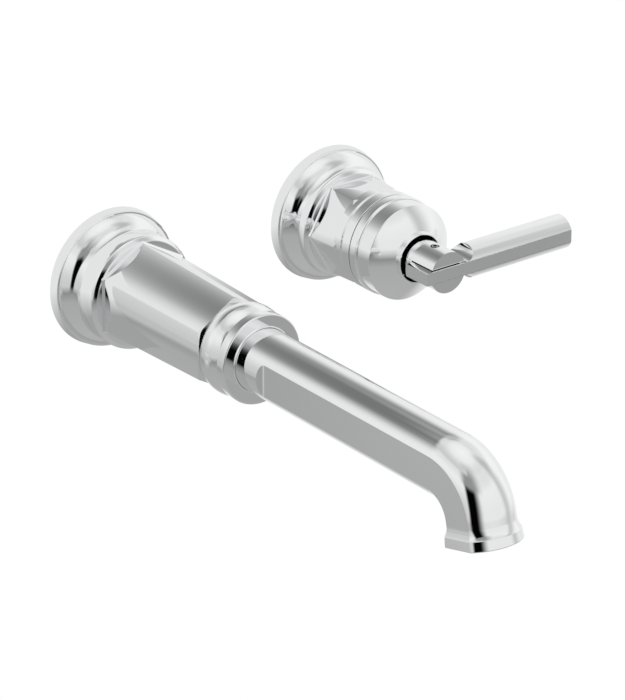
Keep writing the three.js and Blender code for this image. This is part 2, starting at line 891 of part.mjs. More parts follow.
function sideBoss(side, length) {
  return rod(at(0, casting.waterReach, 0), at(side * length, casting.waterReach, 0), casting.bossRadius);
}

function valveBody() {
  const body = turnedSolid([
    [0, casting.rear],
    [valve.radius, casting.rear],
    [valve.radius, valve.shoulderReach],
    [valve.neckRadius, valve.shoulderReach],
    [valve.neckRadius, valve.front],
    [0, valve.front],
  ], hiddenFacets);
  const legs = [-1, 1].map((side) => rod(
    at(side * valve.inletSpread, casting.waterReach, 0),
    at(side * valve.inletSpread, casting.waterReach, -valve.inletDrop),
    casting.bossRadius,
  ));
  const feeds = [-1, 1].flatMap((side) => {
    const socketTop = at(side * valve.inletSpread, casting.waterReach, valve.inletDepth - valve.inletDrop);
    const mouth = socketTop.clone().setZ(-valve.inletDrop - overrun);
    const turn = at(side * cartridge.inletSpread, valve.feedReach, 0);
    const chamber = at(side * cartridge.inletSpread, cartridge.rear, 0);
    return [
      rod(socketTop, mouth, valve.inletBore),
      rod(socketTop.clone().setZ(socketTop.z - overrun), turn, valve.feedRadius, smallFacets),
      rod(turn.clone().setY(turn.y + valve.feedRadius / 2), chamber, valve.feedRadius, smallFacets),
    ];
  });
  const bay = bandOutline(cartridge.radius + gap, 0, cartridge.rear - gap, valve.front + overrun);
  return cut(joined([body, sideBoss(-1, valve.bossLength), ...legs]), [
    turnedSolid(bay, hiddenFacets),
    ...bossCuts(-1, valve.bossLength),
    ...feeds,
    clampHole(0),
  ]);
}

function spoutElbow() {
  const body = turnedSolid(bandOutline(elbow.radius, 0, casting.rear, elbow.front), hiddenFacets);
  return cut(joined([body, sideBoss(1, elbow.bossLength)]), [
    turnedSolid(bandOutline(nipple.radius + gap, 0, nipple.rear - gap, elbow.front + overrun), hiddenFacets),
    turnedSolid(bandOutline(nipple.bore, 0, cartridge.rear, nipple.rear), hiddenFacets),
    ...bossCuts(1, elbow.bossLength),
    clampHole(0),
  ]);
}

function crossPipeSolid() {
  const start = at(elbow.bossLength - crossPipe.socket + gap, casting.waterReach, 0);
  const end = at(unitSpacing - valve.bossLength + crossPipe.socket - gap, casting.waterReach, 0);
  const along = new THREE.Vector3().subVectors(end, start);
  const outline = bandOutline(crossPipe.radius, crossPipe.radius - crossPipe.wall, 0, along.length());
  return aimed(turned(outline, hiddenFacets), start, along);
}

const wallScrewPlaces = [-1, 1].flatMap((side) => [-1, 1].map((height) => at(
  unitSpacing / 2 + side * (unitSpacing / 2 + bracket.overhang - bracket.screwInset),
  bracketFront + gap,
  height * (bracket.height / 2 - bracket.screwInset),
)));

function wallBracket() {
  const right = unitSpacing + bracket.overhang - bracket.corner;
  const left = bracket.corner - bracket.overhang;
  const top = bracket.height / 2 - bracket.corner;
  const shape = new THREE.Shape();
  shape.absarc(right, top, bracket.corner, 0, quarterTurn, false);
  shape.absarc(left, top, bracket.corner, quarterTurn, Math.PI, false);
  shape.absarc(left, -top, bracket.corner, Math.PI, Math.PI + quarterTurn, false);
  shape.absarc(right, -top, bracket.corner, Math.PI + quarterTurn, Math.PI * 2, false);
  const holes = wallScrewPlaces.map(({ x, z }) => rod(
    at(x, bracketRear - overrun, z),
    at(x, bracketFront + overrun, z),
    wallScrew.radius + gap,
  ));
  const plate = solid(extruded(shape, bracketRear, bracket.thickness));
  return cut(plate, [...holes, clampHole(0), clampHole(unitSpacing)]);
}

// Round-headed screw, its shank running from under the head
function wallScrewOutline() {
  const { radius, length, headRadius, headHeight, crownShare, socket, socketDepth } = wallScrew;
  return [
    [0, socketDepth - headHeight],
    [socket, socketDepth - headHeight],
    [socket, -headHeight],
    [headRadius * crownShare, -headHeight],
    [headRadius, -headHeight / 2],
    [headRadius, 0],
    [radius, 0],
    [radius, length - radius],
    [0, length],
  ];
}

function clampMesh(name, x) {
  const outline = clampOutline(0, clampScrew.socketDepth);
  return steel(name, aimed(turned(outline, smallFacets), clampPlace.clone().setX(x), outward));
}

function spoutUnit() {
  const unit = new THREE.Group();
  const grubPlace = at(0, spoutGrub.reach, 0).addScaledVector(spoutGrubWay, nipple.radius + gap);
  unit.add(
    chrome('spout_escutcheon', turned(dishOutline(spoutDishLength))),
    foam('spout_gasket', turned(gasketOutline(), hiddenFacets)),
    chrome('hex_sleeve', skin(hexSleeve())),
    chrome('spout_disc', turned(discOutline())),
    chrome('spout_tube', skin(spoutTube())),
    ...aeratorPieces(),
    brass('spout_nipple', skin(spoutNipple())),
    ...nippleSeals.map((reach, index) => rubber(`nipple_seal_${index + 1}`, sealRing(nipple.radius, reach))),
    ...shankSeals.map((reach, index) => rubber(`tube_seal_${index + 1}`, sealRing(tube.radius, reach))),
    steel('spout_grub_screw', aimed(turned(grubOutline(spoutGrub), smallFacets), grubPlace, spoutGrubWay)),
    brass('spout_elbow', skin(spoutElbow())),
    clampMesh('clamp_screw_1', 0),
  );
  return unit;
}

function leverUnit() {
  const unit = new THREE.Group();
  unit.position.x = unitSpacing;
  const up = new THREE.Vector3(0, 0, 1);
  const grubPlace = at(0, leverGrubReach, lever.bladeHeight / 2 + gap);
  unit.add(
    chrome('lever_escutcheon', turned(dishOutline(leverDishLength))),
    foam('lever_gasket', turned(gasketOutline(), hiddenFacets)),
    chrome('hex_bonnet', skin(hexBonnet())),
    chrome('bonnet_cap', turned(capOutline())),
    chrome('lever_hub', skin(leverHub())),
    chrome('lever', skin(leverSolid())),
    steel('lever_grub_screw', aimed(turned(grubOutline(leverGrub), smallFacets), grubPlace, up)),
    steel('hub_screw', turned(hubScrewOutline(), smallFacets)),
    brass('cartridge_body', skin(cartridgeBody())),
    brass('cartridge_stem', skin(cartridgeStem())),
    brass('bonnet_nut', skin(bonnetNut())),
    brass('valve_body', skin(valveBody())),
    clampMesh('clamp_screw_2', 0),
  );
  return unit;
}

function wallPieces() {
  const group = new THREE.Group();
  group.add(copper('cross_pipe', crossPipeSolid()), steel('wall_bracket', skin(wallBracket())));
  wallScrewPlaces.forEach((place, index) => {
    const screw = turned(wallScrewOutline(), smallFacets);
    group.add(steel(`wall_screw_${index + 1}`, aimed(screw, place, inward)));
  });
  return group;
}

const faucet = new THREE.Group();
faucet.name = 'wall_faucet';
faucet.add(spoutUnit(), leverUnit(), wallPieces());

export default faucet;
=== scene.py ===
"""Wall-mounted basin faucet: polished outer pieces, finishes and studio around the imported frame."""

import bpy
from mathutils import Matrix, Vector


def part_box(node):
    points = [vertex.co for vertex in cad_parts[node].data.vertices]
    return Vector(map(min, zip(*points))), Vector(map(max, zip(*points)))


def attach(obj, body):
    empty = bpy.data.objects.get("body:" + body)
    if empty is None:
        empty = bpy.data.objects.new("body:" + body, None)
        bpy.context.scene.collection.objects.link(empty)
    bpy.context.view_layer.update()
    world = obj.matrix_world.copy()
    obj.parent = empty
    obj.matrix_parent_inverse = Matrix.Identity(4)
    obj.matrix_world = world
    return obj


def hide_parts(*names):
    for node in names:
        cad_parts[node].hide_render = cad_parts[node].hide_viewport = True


bl_info = {
    "name": "Wall faucet builder",
    "version": (1, 0, 0),
    "blender": (4, 5, 0),
    "location": "View3D > Sidebar > Faucet",
    "description": "Builds the polished pieces, finishes and studio of a wall-mounted basin faucet",
    "category": "Object",
}

import math

import bpy
from mathutils import Matrix, Vector

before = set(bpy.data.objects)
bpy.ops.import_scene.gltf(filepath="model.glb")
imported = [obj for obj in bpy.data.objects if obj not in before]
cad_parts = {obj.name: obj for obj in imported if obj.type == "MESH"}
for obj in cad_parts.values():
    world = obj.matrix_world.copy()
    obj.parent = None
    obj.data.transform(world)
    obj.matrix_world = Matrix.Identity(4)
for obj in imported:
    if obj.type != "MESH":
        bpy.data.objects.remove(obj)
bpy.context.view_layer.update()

MM = 0.001
FIXED = "fixed_set"
TURNING = "lever_set"
LEVER_X = sum(corner.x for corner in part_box("lever_escutcheon")) / 2
ROUND_STEPS = 192
ARC_STEPS = 10
SMOOTH_ANGLE = math.radians(16)
MERGE_DISTANCE = 2e-6
SAME_PLACE = 1e-6
FLAT_WEIGHT = 90


# Sizes and finishes that a user may change

class SpoutSizes(bpy.types.PropertyGroup):
    """Sizes of the spout in metres"""

    tube_radius: bpy.props.FloatProperty(
        name="Tube radius", description="Outside radius of the spout tube",
        default=0.01205, unit="LENGTH", precision=5)
    flat_half_width: bpy.props.FloatProperty(
        name="Flat half width", description="Distance of each side flat from the tube's axis",
        default=0.010375, unit="LENGTH", precision=5)
    bend_radius: bpy.props.FloatProperty(
        name="Bend radius", description="Radius of the bend's centre line",
        default=0.01675, unit="LENGTH", precision=5)
    bend_angle: bpy.props.FloatProperty(
        name="Bend angle", description="Turn of the bend, downwards",
        default=math.radians(76), subtype="ANGLE")
    hex_edge_round: bpy.props.FloatProperty(
        name="Hexagon edge round", description="Rounding along the corners of the hexagons",
        default=0.0003, unit="LENGTH", precision=5)
    crown: bpy.props.FloatProperty(
        name="Crown of the flats", description="How far the polish of the hexagons' flats turns them round",
        default=0.76, min=0, max=1, subtype="FACTOR")


class LeverSizes(bpy.types.PropertyGroup):
    """Sizes of the lever unit in metres"""

    bar_radius: bpy.props.FloatProperty(
        name="Bar radius", description="Radius of the lever's round bar",
        default=0.0067, unit="LENGTH", precision=5)
    blade_height: bpy.props.FloatProperty(
        name="Blade height", description="Thickness of the lever inside the hub's slot",
        default=0.005, unit="LENGTH", precision=5)
    edge_round: bpy.props.FloatProperty(
        name="Edge round", description="Rounding of the lever's and hub's edges",
        default=0.0002, unit="LENGTH", precision=5)


class FinishColours(bpy.types.PropertyGroup):
    """Colours and gloss of the finishes"""

    chrome: bpy.props.FloatVectorProperty(
        name="Chrome", description="Colour of the chrome plate",
        default=(0.9, 0.905, 0.91), size=3, subtype="COLOR", min=0, max=1)
    chrome_roughness: bpy.props.FloatProperty(
        name="Chrome roughness", description="Mean roughness of the chrome plate",
        default=0.035, min=0, max=1, subtype="FACTOR")
    brass: bpy.props.FloatVectorProperty(
        name="Brass", description="Colour of the concealed castings",
        default=(0.62, 0.43, 0.17), size=3, subtype="COLOR", min=0, max=1)
    copper: bpy.props.FloatVectorProperty(
        name="Copper", description="Colour of the cross pipe",
        default=(0.68, 0.33, 0.19), size=3, subtype="COLOR", min=0, max=1)
    steel: bpy.props.FloatVectorProperty(
        name="Steel", description="Colour of the bracket and screws",
        default=(0.48, 0.49, 0.5), size=3, subtype="COLOR", min=0, max=1)


class StudioLevels(bpy.types.PropertyGroup):
    """Brightness of what the polished metal mirrors"""

    tent_radius: bpy.props.FloatProperty(
        name="Tent radius", description="Radius of the round light tent",
        default=0.80, unit="LENGTH")
    floor_height: bpy.props.FloatProperty(
        name="Floor height", description="Height of the floor under the spout's axis",
        default=-0.32, unit="LENGTH")


# Modelling helpers

def enter_edit():
    bpy.ops.object.mode_set(mode="EDIT")


def leave_edit():
    bpy.ops.object.mode_set(mode="OBJECT")


def deselect():
    if bpy.context.object and bpy.context.object.mode != "OBJECT":
        leave_edit()
    bpy.ops.object.select_all(action="DESELECT")


def pick(piece):
    deselect()
    piece.select_set(True)
    bpy.context.view_layer.objects.active = piece


def settle(piece, name):
    """Names a piece and puts its place into its mesh"""
    piece.name = name
    piece.data.name = name
    pick(piece)
    bpy.ops.object.transform_apply(location=True, rotation=True, scale=True)
    return piece


def arc(centre_radius, centre_reach, size, start, stop, steps=ARC_STEPS):
    """Points of an arc in an outline; the angles are tilts towards the room, in degrees"""
    points = []
    for step in range(steps + 1):
        angle = math.radians(start + (stop - start) * step / steps)
        points.append((centre_radius + size * math.cos(angle), centre_reach + size * math.sin(angle)))
    return points


def oval(centre_radius, centre_reach, across, along, steps):
    """Points of a quarter of an ellipse in an outline, from its side to its front"""
    turns = [math.pi / 2 * step / steps for step in range(steps + 1)]
    return [(centre_radius + across * math.cos(turn), centre_reach + along * math.sin(turn))
            for turn in turns]


def bulged(start, end, bulge, steps):
    """Points of a slightly bulged slope in an outline, without its first point"""
    shares = [step / steps for step in range(1, steps + 1)]
    return [tuple(a + (b - a) * share + rise * share * (1 - share) for a, b, rise in zip(start, end, bulge))
            for share in shares]


def traced(name, places):
    """Extrudes a line from place to place and stays in edit mode"""
    deselect()
    bpy.ops.mesh.primitive_plane_add(size=MM, location=places[0])
    piece = settle(bpy.context.object, name)
    enter_edit()
    bpy.ops.mesh.select_mode(type="VERT")
    bpy.ops.mesh.select_all(action="SELECT")
    bpy.ops.mesh.merge(type="CENTER")
    for here, there in zip(places, places[1:]):
        bpy.ops.mesh.extrude_region_move(TRANSFORM_OT_translate={"value": there - here})
    bpy.ops.mesh.select_all(action="SELECT")
    bpy.ops.mesh.remove_doubles(threshold=MERGE_DISTANCE)
    return piece


def turned(name, outline, centre_x=0.0, steps=ROUND_STEPS):
    """Traces an outline of (radius, reach) in millimetres, then spins it round the unit's axis"""
    places = [Vector((centre_x, -reach * MM, radius * MM)) for radius, reach in outline]
    on_axis = outline[0][0] == 0 and outline[-1][0] == 0
    piece = traced(name, places if on_axis else [*places, places[0]])
    bpy.ops.mesh.spin(
        steps=steps, angle=math.tau, center=(centre_x, 0, 0), axis=(0, 1, 0), use_auto_merge=True)
    bpy.ops.mesh.select_all(action="SELECT")
    bpy.ops.mesh.remove_doubles(threshold=MERGE_DISTANCE)
    bpy.ops.mesh.normals_make_consistent(inside=False)
    leave_edit()
    return piece


def select_edges(piece, test):
    """Selects the edges whose two ends pass a test, in edit mode"""
    bpy.ops.mesh.select_all(action="DESELECT")
    leave_edit()
    corners = piece.data.vertices
    for edge in piece.data.edges:
        edge.select = test(corners[edge.vertices[0]].co, corners[edge.vertices[1]].co)
    enter_edit()
    bpy.ops.mesh.select_mode(type="EDGE")


def select_faces(piece, test):
    """Selects the faces that pass a test on their centre and normal, in edit mode"""
    bpy.ops.mesh.select_mode(type="FACE")
    bpy.ops.mesh.select_all(action="DESELECT")
    leave_edit()
    for face in piece.data.polygons:
        face.select = test(face.center, face.normal)
    enter_edit()


def hexagon(name, form, edge_round, centre_x=0.0, turn=0.0):
    """A tapered hexagon along the unit's axis; its form is two corner radii and two reaches in millimetres"""
    rear_corner, front_corner, rear, front = form
    deselect()
    bpy.ops.mesh.primitive_cone_add(
        vertices=6, radius1=rear_corner * MM, radius2=front_corner * MM, depth=(front - rear) * MM,
        location=(centre_x, -(rear + front) / 2 * MM, 0), rotation=(math.pi / 2, turn, 0))
    piece = settle(bpy.context.object, name)
    enter_edit()
    select_edges(piece, lambda a, b: abs(a.y - b.y) > MM)
    bpy.ops.mesh.bevel(offset=edge_round, segments=4, affect="EDGES")
    leave_edit()
    return piece


def combine(piece, other, operation):
    """Joins another solid to a piece, or cuts it away, and removes it"""
    pick(piece)
    change = piece.modifiers.new("Combine", "BOOLEAN")
    change.operation = operation
    change.solver = "EXACT"
    change.object = other
    bpy.ops.object.modifier_apply(modifier=change.name)
    bpy.data.objects.remove(other)
    return piece


def round_edges(piece, width, segments, angle=30):
    """Rounds every edge sharper than an angle in degrees"""
    pick(piece)
    change = piece.modifiers.new("Rounding", "BEVEL")
    change.width = width
    change.segments = segments
    change.limit_method = "ANGLE"
    change.angle_limit = math.radians(angle)
    change.use_clamp_overlap = True
    bpy.ops.object.modifier_apply(modifier=change.name)
    return piece


def box(name, low, high):
    """A block between two corners in millimetres"""
    deselect()
    low, high = Vector(low) * MM, Vector(high) * MM
    bpy.ops.mesh.primitive_cube_add(size=1, location=(low + high) / 2)
    piece = bpy.context.object
    piece.scale = high - low
    return settle(piece, name)


def rod(name, start, end, radius, vertices=96):
    """A straight rod between two places in millimetres"""
    deselect()
    start, end = Vector(start) * MM, Vector(end) * MM
    along = end - start
    bpy.ops.mesh.primitive_cylinder_add(
        vertices=vertices, radius=radius * MM, depth=along.length, location=(start + end) / 2,
        rotation=along.to_track_quat("Z", "Y").to_euler())
    return settle(bpy.context.object, name)


def bore(piece, rear, front, radius, centre_x=0.0, vertices=96):
    """Drills a piece along a unit's axis between two reaches in millimetres"""
    x = centre_x / MM
    combine(piece, rod("bore", (x, -rear, 0), (x, -front, 0), radius, vertices), "DIFFERENCE")


def dress(piece, material, body, *nodes, slot="chrome"):
    """Gives a finished piece its finish and its body, and hides the nodes it stands for"""
    pick(piece)
    bpy.ops.object.shade_smooth_by_angle(angle=SMOOTH_ANGLE)
    level = piece.modifiers.new("Flat faces", "WEIGHTED_NORMAL")
    level.mode = "FACE_AREA"
    level.weight = FLAT_WEIGHT
    level.keep_sharp = True
    bpy.ops.object.modifier_apply(modifier=level.name)
    piece.data.materials.clear()
    piece.data.materials.append(material)
    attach(piece, body)
    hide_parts(*nodes)
    return piece


# Materials

POLISH_FINENESS = 8.0
CHROME_SPREAD, CHROME_SCALE, CHROME_TINT = 0.02, 30, 0.03
GRAIN_DEPTH = 5e-5
GRAIN_ROUGHNESS_SHARES = (0.85, 1.15)
# Largest lean along the axis of a normal that still belongs to a flat
UPRIGHT_LIMIT = 0.12

# Sockets of a Mix node that is set to vectors
MIX_FACTOR, MIX_FIRST, MIX_SECOND, MIX_RESULT = 0, 4, 5, 1


def add_node(tree, kind, place, **values):
    node = tree.nodes.new(kind)
    node.location = place
    for key, value in values.items():
        setattr(node, key, value)
    return node


def sum_node(tree, operation, place, second=None):
    """A Math node, with its second number where that is a constant"""
    node = add_node(tree, "ShaderNodeMath", place, operation=operation)
    if second is not None:
        node.inputs[1].default_value = second
    return node


def fill(node, values):
    """Sets the constants of a node's inputs"""
    for key, value in values.items():
        node.inputs[key].default_value = value
    return node


def wire(tree, *links):
    """Links nodes; each link names a node and its output, then a node and its input"""
    for source, output, target, entry in links:
        tree.links.new(source.outputs[output], target.inputs[entry])


def blank_material(name):
    """A new material without nodes, and its tree"""
    material = bpy.data.materials.new(name)
    material.use_nodes = True
    material.node_tree.nodes.clear()
    return material, material.node_tree


def new_group(name, inputs, outputs):
    """A new node group with the named sockets of each kind, its input node and its output node"""
    group = bpy.data.node_groups.new(name, "ShaderNodeTree")
    for way, sockets in (("INPUT", inputs), ("OUTPUT", outputs)):
        for kind, labels in sockets.items():
            for label in labels:
                group.interface.new_socket(name=label, in_out=way, socket_type="NodeSocket" + kind)
    return group, add_node(group, "NodeGroupInput", (-1100, 0)), add_node(group, "NodeGroupOutput", (1200, 0))


def polish_group():
    """Faint wiping marks and cloudiness of a polished or machined metal"""
    if "Polish marks" in bpy.data.node_groups:
        return bpy.data.node_groups["Polish marks"]
    group, enter, leave = new_group(
        "Polish marks",
        {"Vector": ("Vector",), "Float": ("Scale", "Roughness", "Spread", "Tint"), "Color": ("Colour",)},
        {"Color": ("Colour",), "Float": ("Roughness", "Height")})
    cloud = fill(add_node(group, "ShaderNodeTexNoise", (-600, 200)), {"Detail": 4})
    fine_scale = sum_node(group, "MULTIPLY", (-780, -200), POLISH_FINENESS)
    fine = fill(add_node(group, "ShaderNodeTexNoise", (-600, -200)), {"Detail": 2})
    centred = sum_node(group, "SUBTRACT", (-380, 200), 0.5)
    spread = sum_node(group, "MULTIPLY_ADD", (-180, 120))
    dim = fill(sum_node(group, "MULTIPLY_ADD", (-180, 320)), {2: 1.0})
    shade = add_node(group, "ShaderNodeVectorMath", (100, 320), operation="SCALE")
    wire(group,
         (enter, "Vector", cloud, "Vector"), (enter, "Scale", cloud, "Scale"),
         (enter, "Scale", fine_scale, 0),
         (enter, "Vector", fine, "Vector"), (fine_scale, 0, fine, "Scale"),
         (cloud, "Fac", centred, 0),
         (centred, 0, spread, 0), (enter, "Spread", spread, 1), (enter, "Roughness", spread, 2),
         (centred, 0, dim, 0), (enter, "Tint", dim, 1),
         (enter, "Colour", shade, 0), (dim, 0, shade, "Scale"),
         (shade, 0, leave, "Colour"), (spread, 0, leave, "Roughness"), (fine, "Fac", leave, "Height"))
    return group


def metal(name, colour, roughness, spread, scale, tint, bump=0.02, bump_depth=1e-5):
    """A metal finish with its own polish or casting marks"""
    if name in bpy.data.materials:
        return bpy.data.materials[name]
    material, tree = blank_material(name)
    out = add_node(tree, "ShaderNodeOutputMaterial", (500, 0))
    shader = add_node(tree, "ShaderNodeBsdfPrincipled", (200, 0))
    shader.inputs["Metallic"].default_value = 1.0
    marks = add_node(tree, "ShaderNodeGroup", (-300, 0), node_tree=polish_group())
    fill(marks, {"Scale": scale, "Roughness": roughness, "Spread": spread, "Tint": tint,
                 "Colour": (*colour, 1)})
    place = add_node(tree, "ShaderNodeTexCoord", (-600, 0))
    relief = fill(add_node(tree, "ShaderNodeBump", (-60, -250)), {"Strength": bump, "Distance": bump_depth})
    wire(tree,
         (place, "Object", marks, "Vector"),
         (marks, "Colour", shader, "Base Color"), (marks, "Roughness", shader, "Roughness"),
         (marks, "Height", relief, "Height"), (relief, "Normal", shader, "Normal"),
         (shader, "BSDF", out, "Surface"))
    return material


def moulded(name, colour, roughness, speckle, scale, bump):
    """A moulded rubber, foam or plastic with a fine grain"""
    material, tree = blank_material(name)
    out = add_node(tree, "ShaderNodeOutputMaterial", (500, 0))
    shader = add_node(tree, "ShaderNodeBsdfPrincipled", (200, 0))
    place = add_node(tree, "ShaderNodeTexCoord", (-800, 0))
    grain = fill(add_node(tree, "ShaderNodeTexNoise", (-600, 0)), {"Scale": scale, "Detail": 5})
    ramp = add_node(tree, "ShaderNodeValToRGB", (-300, 120))
    for stop, factor in zip(ramp.color_ramp.elements, (1 - speckle, 1 + speckle)):
        stop.color = (*[min(1.0, channel * factor) for channel in colour], 1)
    low, high = (min(1.0, roughness * share) for share in GRAIN_ROUGHNESS_SHARES)
    rough = fill(add_node(tree, "ShaderNodeMapRange", (-300, -120)), {"To Min": low, "To Max": high})
    relief = fill(add_node(tree, "ShaderNodeBump", (-60, -300)), {"Strength": bump, "Distance": GRAIN_DEPTH})
    wire(tree,
         (place, "Object", grain, "Vector"),
         (grain, "Fac", ramp, "Fac"), (grain, "Fac", rough, "Value"), (grain, "Fac", relief, "Height"),
         (ramp, "Color", shader, "Base Color"), (rough, "Result", shader, "Roughness"),
         (relief, "Normal", shader, "Normal"), (shader, "BSDF", out, "Surface"))
    return material


def crown_group():
    """Turns the normal of a milled flat part of the way towards straight out from the unit's axis"""
    if "Crowned flats" in bpy.data.node_groups:
        return bpy.data.node_groups["Crowned flats"]
    group, enter, leave = new_group(
        "Crowned flats",
        {"Vector": ("Place", "Face normal", "Normal"), "Float": ("Axis across", "Rear", "Front", "Crown")},
        {"Vector": ("Normal",)})
    place = add_node(group, "ShaderNodeSeparateXYZ", (-900, 100))
    face = add_node(group, "ShaderNodeSeparateXYZ", (-900, -200))
    across = sum_node(group, "SUBTRACT", (-700, 200))
    out = add_node(group, "ShaderNodeCombineXYZ", (-500, 200))
    radial = add_node(group, "ShaderNodeVectorMath", (-300, 200), operation="NORMALIZE")
    reach = sum_node(group, "MULTIPLY", (-700, 0), -1.0)
    after = sum_node(group, "GREATER_THAN", (-500, 0))
    before = sum_node(group, "LESS_THAN", (-500, -150))
    lean = sum_node(group, "ABSOLUTE", (-700, -300))
    upright = sum_node(group, "LESS_THAN", (-500, -300), UPRIGHT_LIMIT)
    between = sum_node(group, "MULTIPLY", (-300, -100))
    on_flat = sum_node(group, "MULTIPLY", (-150, -200))
    mix = add_node(group, "ShaderNodeMix", (300, 100), data_type="VECTOR")
    unit = add_node(group, "ShaderNodeVectorMath", (600, 0), operation="NORMALIZE")
    choose = add_node(group, "ShaderNodeMix", (800, 0), data_type="VECTOR")
    wire(group,
         (enter, "Place", place, 0), (enter, "Face normal", face, 0),
         (place, "X", across, 0), (enter, "Axis across", across, 1),
         (across, 0, out, "X"), (place, "Z", out, "Z"), (out, 0, radial, 0),
         (place, "Y", reach, 0), (reach, 0, after, 0), (enter, "Rear", after, 1),
         (reach, 0, before, 0), (enter, "Front", before, 1),
         (face, "Y", lean, 0), (lean, 0, upright, 0),
         (after, 0, between, 0), (before, 0, between, 1),
         (between, 0, on_flat, 0), (upright, 0, on_flat, 1),
         (enter, "Crown", mix, MIX_FACTOR), (enter, "Face normal", mix, MIX_FIRST),
         (radial, 0, mix, MIX_SECOND), (mix, MIX_RESULT, unit, 0),
         (on_flat, 0, choose, MIX_FACTOR), (enter, "Normal", choose, MIX_FIRST),
         (unit, 0, choose, MIX_SECOND), (choose, MIX_RESULT, leave, "Normal"))
    return group


def chrome(name="Chrome plate"):
    """The chrome plate with the colour and gloss of the panel"""
    finish = bpy.context.scene.faucet_finish
    return metal(name, finish.chrome, finish.chrome_roughness, CHROME_SPREAD, CHROME_SCALE, CHROME_TINT)


def crowned_chrome(name, axis_x, rear, front, crown):
    """Chrome whose hexagon flats between two reaches are polished to a slight crown"""
    material = chrome(name)
    tree = material.node_tree
    place = add_node(tree, "ShaderNodeTexCoord", (-600, -500))
    side = add_node(tree, "ShaderNodeNewGeometry", (-600, -750))
    flats = add_node(tree, "ShaderNodeGroup", (-300, -500), node_tree=crown_group())
    fill(flats, {"Axis across": axis_x, "Rear": rear * MM, "Front": front * MM, "Crown": crown})
    relief = next(node for node in tree.nodes if node.type == "BUMP")
    wire(tree,
         (place, "Object", flats, "Place"),
         (side, "True Normal", flats, "Face normal"), (side, "Normal", flats, "Normal"),
         (flats, "Normal", relief, "Normal"))
    return material


# Pieces

# Outlines are (radius, reach) in millimetres: the radius from the unit's axis, the reach from the wall.
# Hexagons are (rear corner radius, front corner radius, rear, front), bores are (rear, front, radius).

SPOUT_NECK_LENGTH, LEVER_NECK_LENGTH = 17.9, 12.0
NECK_RADIUS, NECK_INSIDE, NECK_OPENING = 21.0, 19.1, 15.5
NECK_EDGE = (0.1, 0.3)
FRONT_WALL = 1.9
BELL_RADIUS = 9.4
BELL_START = (25.5, 4.2)
BELL_TILTS = (20, 50)
DISH_RIM = ((26.9, 0), (27.0, 0.15), (26.4, 3.55), (26.28, 3.8), (26.0, 3.9), (25.6, 3.92))
DISH_HOLLOW = ((NECK_INSIDE, 8.0), (21.7, 4.2), (24.7, 2.3), (24.7, 0))


def dish_outline(length):
    """Rim band, ledge, convex bell, concave fillet and neck of an escutcheon, hollow behind"""
    low, high = (math.radians(tilt) for tilt in BELL_TILTS)
    bell = arc(BELL_START[0] - BELL_RADIUS * math.cos(low), BELL_START[1] - BELL_RADIUS * math.sin(low),
               BELL_RADIUS, *BELL_TILTS)
    edge_radius, edge_reach = bell[-1]
    fillet = (edge_radius - NECK_RADIUS) / (1 - math.cos(high))
    curve = arc(NECK_RADIUS + fillet, edge_reach + fillet * math.sin(high), fillet, 180 + BELL_TILTS[1], 180)
    return [
        *DISH_RIM, *bell, *curve[1:],
        (NECK_RADIUS, length - NECK_EDGE[1]), (NECK_RADIUS - NECK_EDGE[0], length), (NECK_OPENING, length),
        (NECK_OPENING, length - FRONT_WALL), (NECK_INSIDE, length - FRONT_WALL), *DISH_HOLLOW,
    ]


class FAUCET_OT_escutcheons(bpy.types.Operator):
    """Turns the two dishes that lie against the wall"""

    bl_idname = "faucet.escutcheons"
    bl_label = "Escutcheons"

    def execute(self, context):
        spout_dish = turned("spout_escutcheon_dish", dish_outline(SPOUT_NECK_LENGTH))
        dress(spout_dish, chrome(), FIXED, "spout_escutcheon")
        lever_dish = turned("lever_escutcheon_dish", dish_outline(LEVER_NECK_LENGTH), LEVER_X)
        dress(lever_dish, chrome(), FIXED, "lever_escutcheon")
        return {"FINISHED"}


# Steps inwards from the flange's radius and forwards from its rear
FLANGE_BACK = ((0.2, 0), (0, 0.2), (0, 1.0))
FLANGE_BEVEL = ((1.15, 2.75), (1.45, 2.95), (1.9, 3.05))
FLANGE_ROUND, FLANGE_ROUND_REACH = 1.2, 1.1


def flange_outline(radius, rear):
    """Round flange with a rounded edge and a narrow bevel, the root of a hexagon"""
    back, bevel = ([(radius - inwards, rear + forwards) for inwards, forwards in steps]
                   for steps in (FLANGE_BACK, FLANGE_BEVEL))
    edge = arc(radius - FLANGE_ROUND, rear + FLANGE_ROUND_REACH, FLANGE_ROUND, 0, 45, 6)
    return [(0, rear), *back, *edge, *bevel, (0, bevel[-1][1])]


SLEEVE_FLANGE_RADIUS, SLEEVE_FLANGE_REAR = 22.1, 18.2
SLEEVE_SKIRT = (21.35, 20.3, 21.05, 22.3)
SLEEVE_HEXAGON = (20.4, 18.75, 19.9, 78.2)
SLEEVE_CROWNED = (22.3, 78.19)
SLEEVE_SHOULDER = (
    (0, 76.7), (15.2, 76.7), (15.3, 78.25), (15.7, 78.6), (16.3, 79.2), (16.85, 79.95), (17.3, 80.9),
    (17.55, 82.0), *arc(8.65, 83.4, 9, 0, 44, 14), (15.0, 89.9), (14.8, 90.1), (0, 90.1),
)
SLEEVE_SPIGOT = ((0, 6.2), (15.2, 6.2), (15.2, 18.5), (0, 18.5))
SLEEVE_BORES = ((4, 46.3, 10.7), (68.1, 92, 12.35), (46, 68.4, 7.6))
SLEEVE_SCREW_WAY = ((-5.2, -28, -9.0), (-10.95, -28, -18.97), 2.3)
SCREW_STEPS = 48


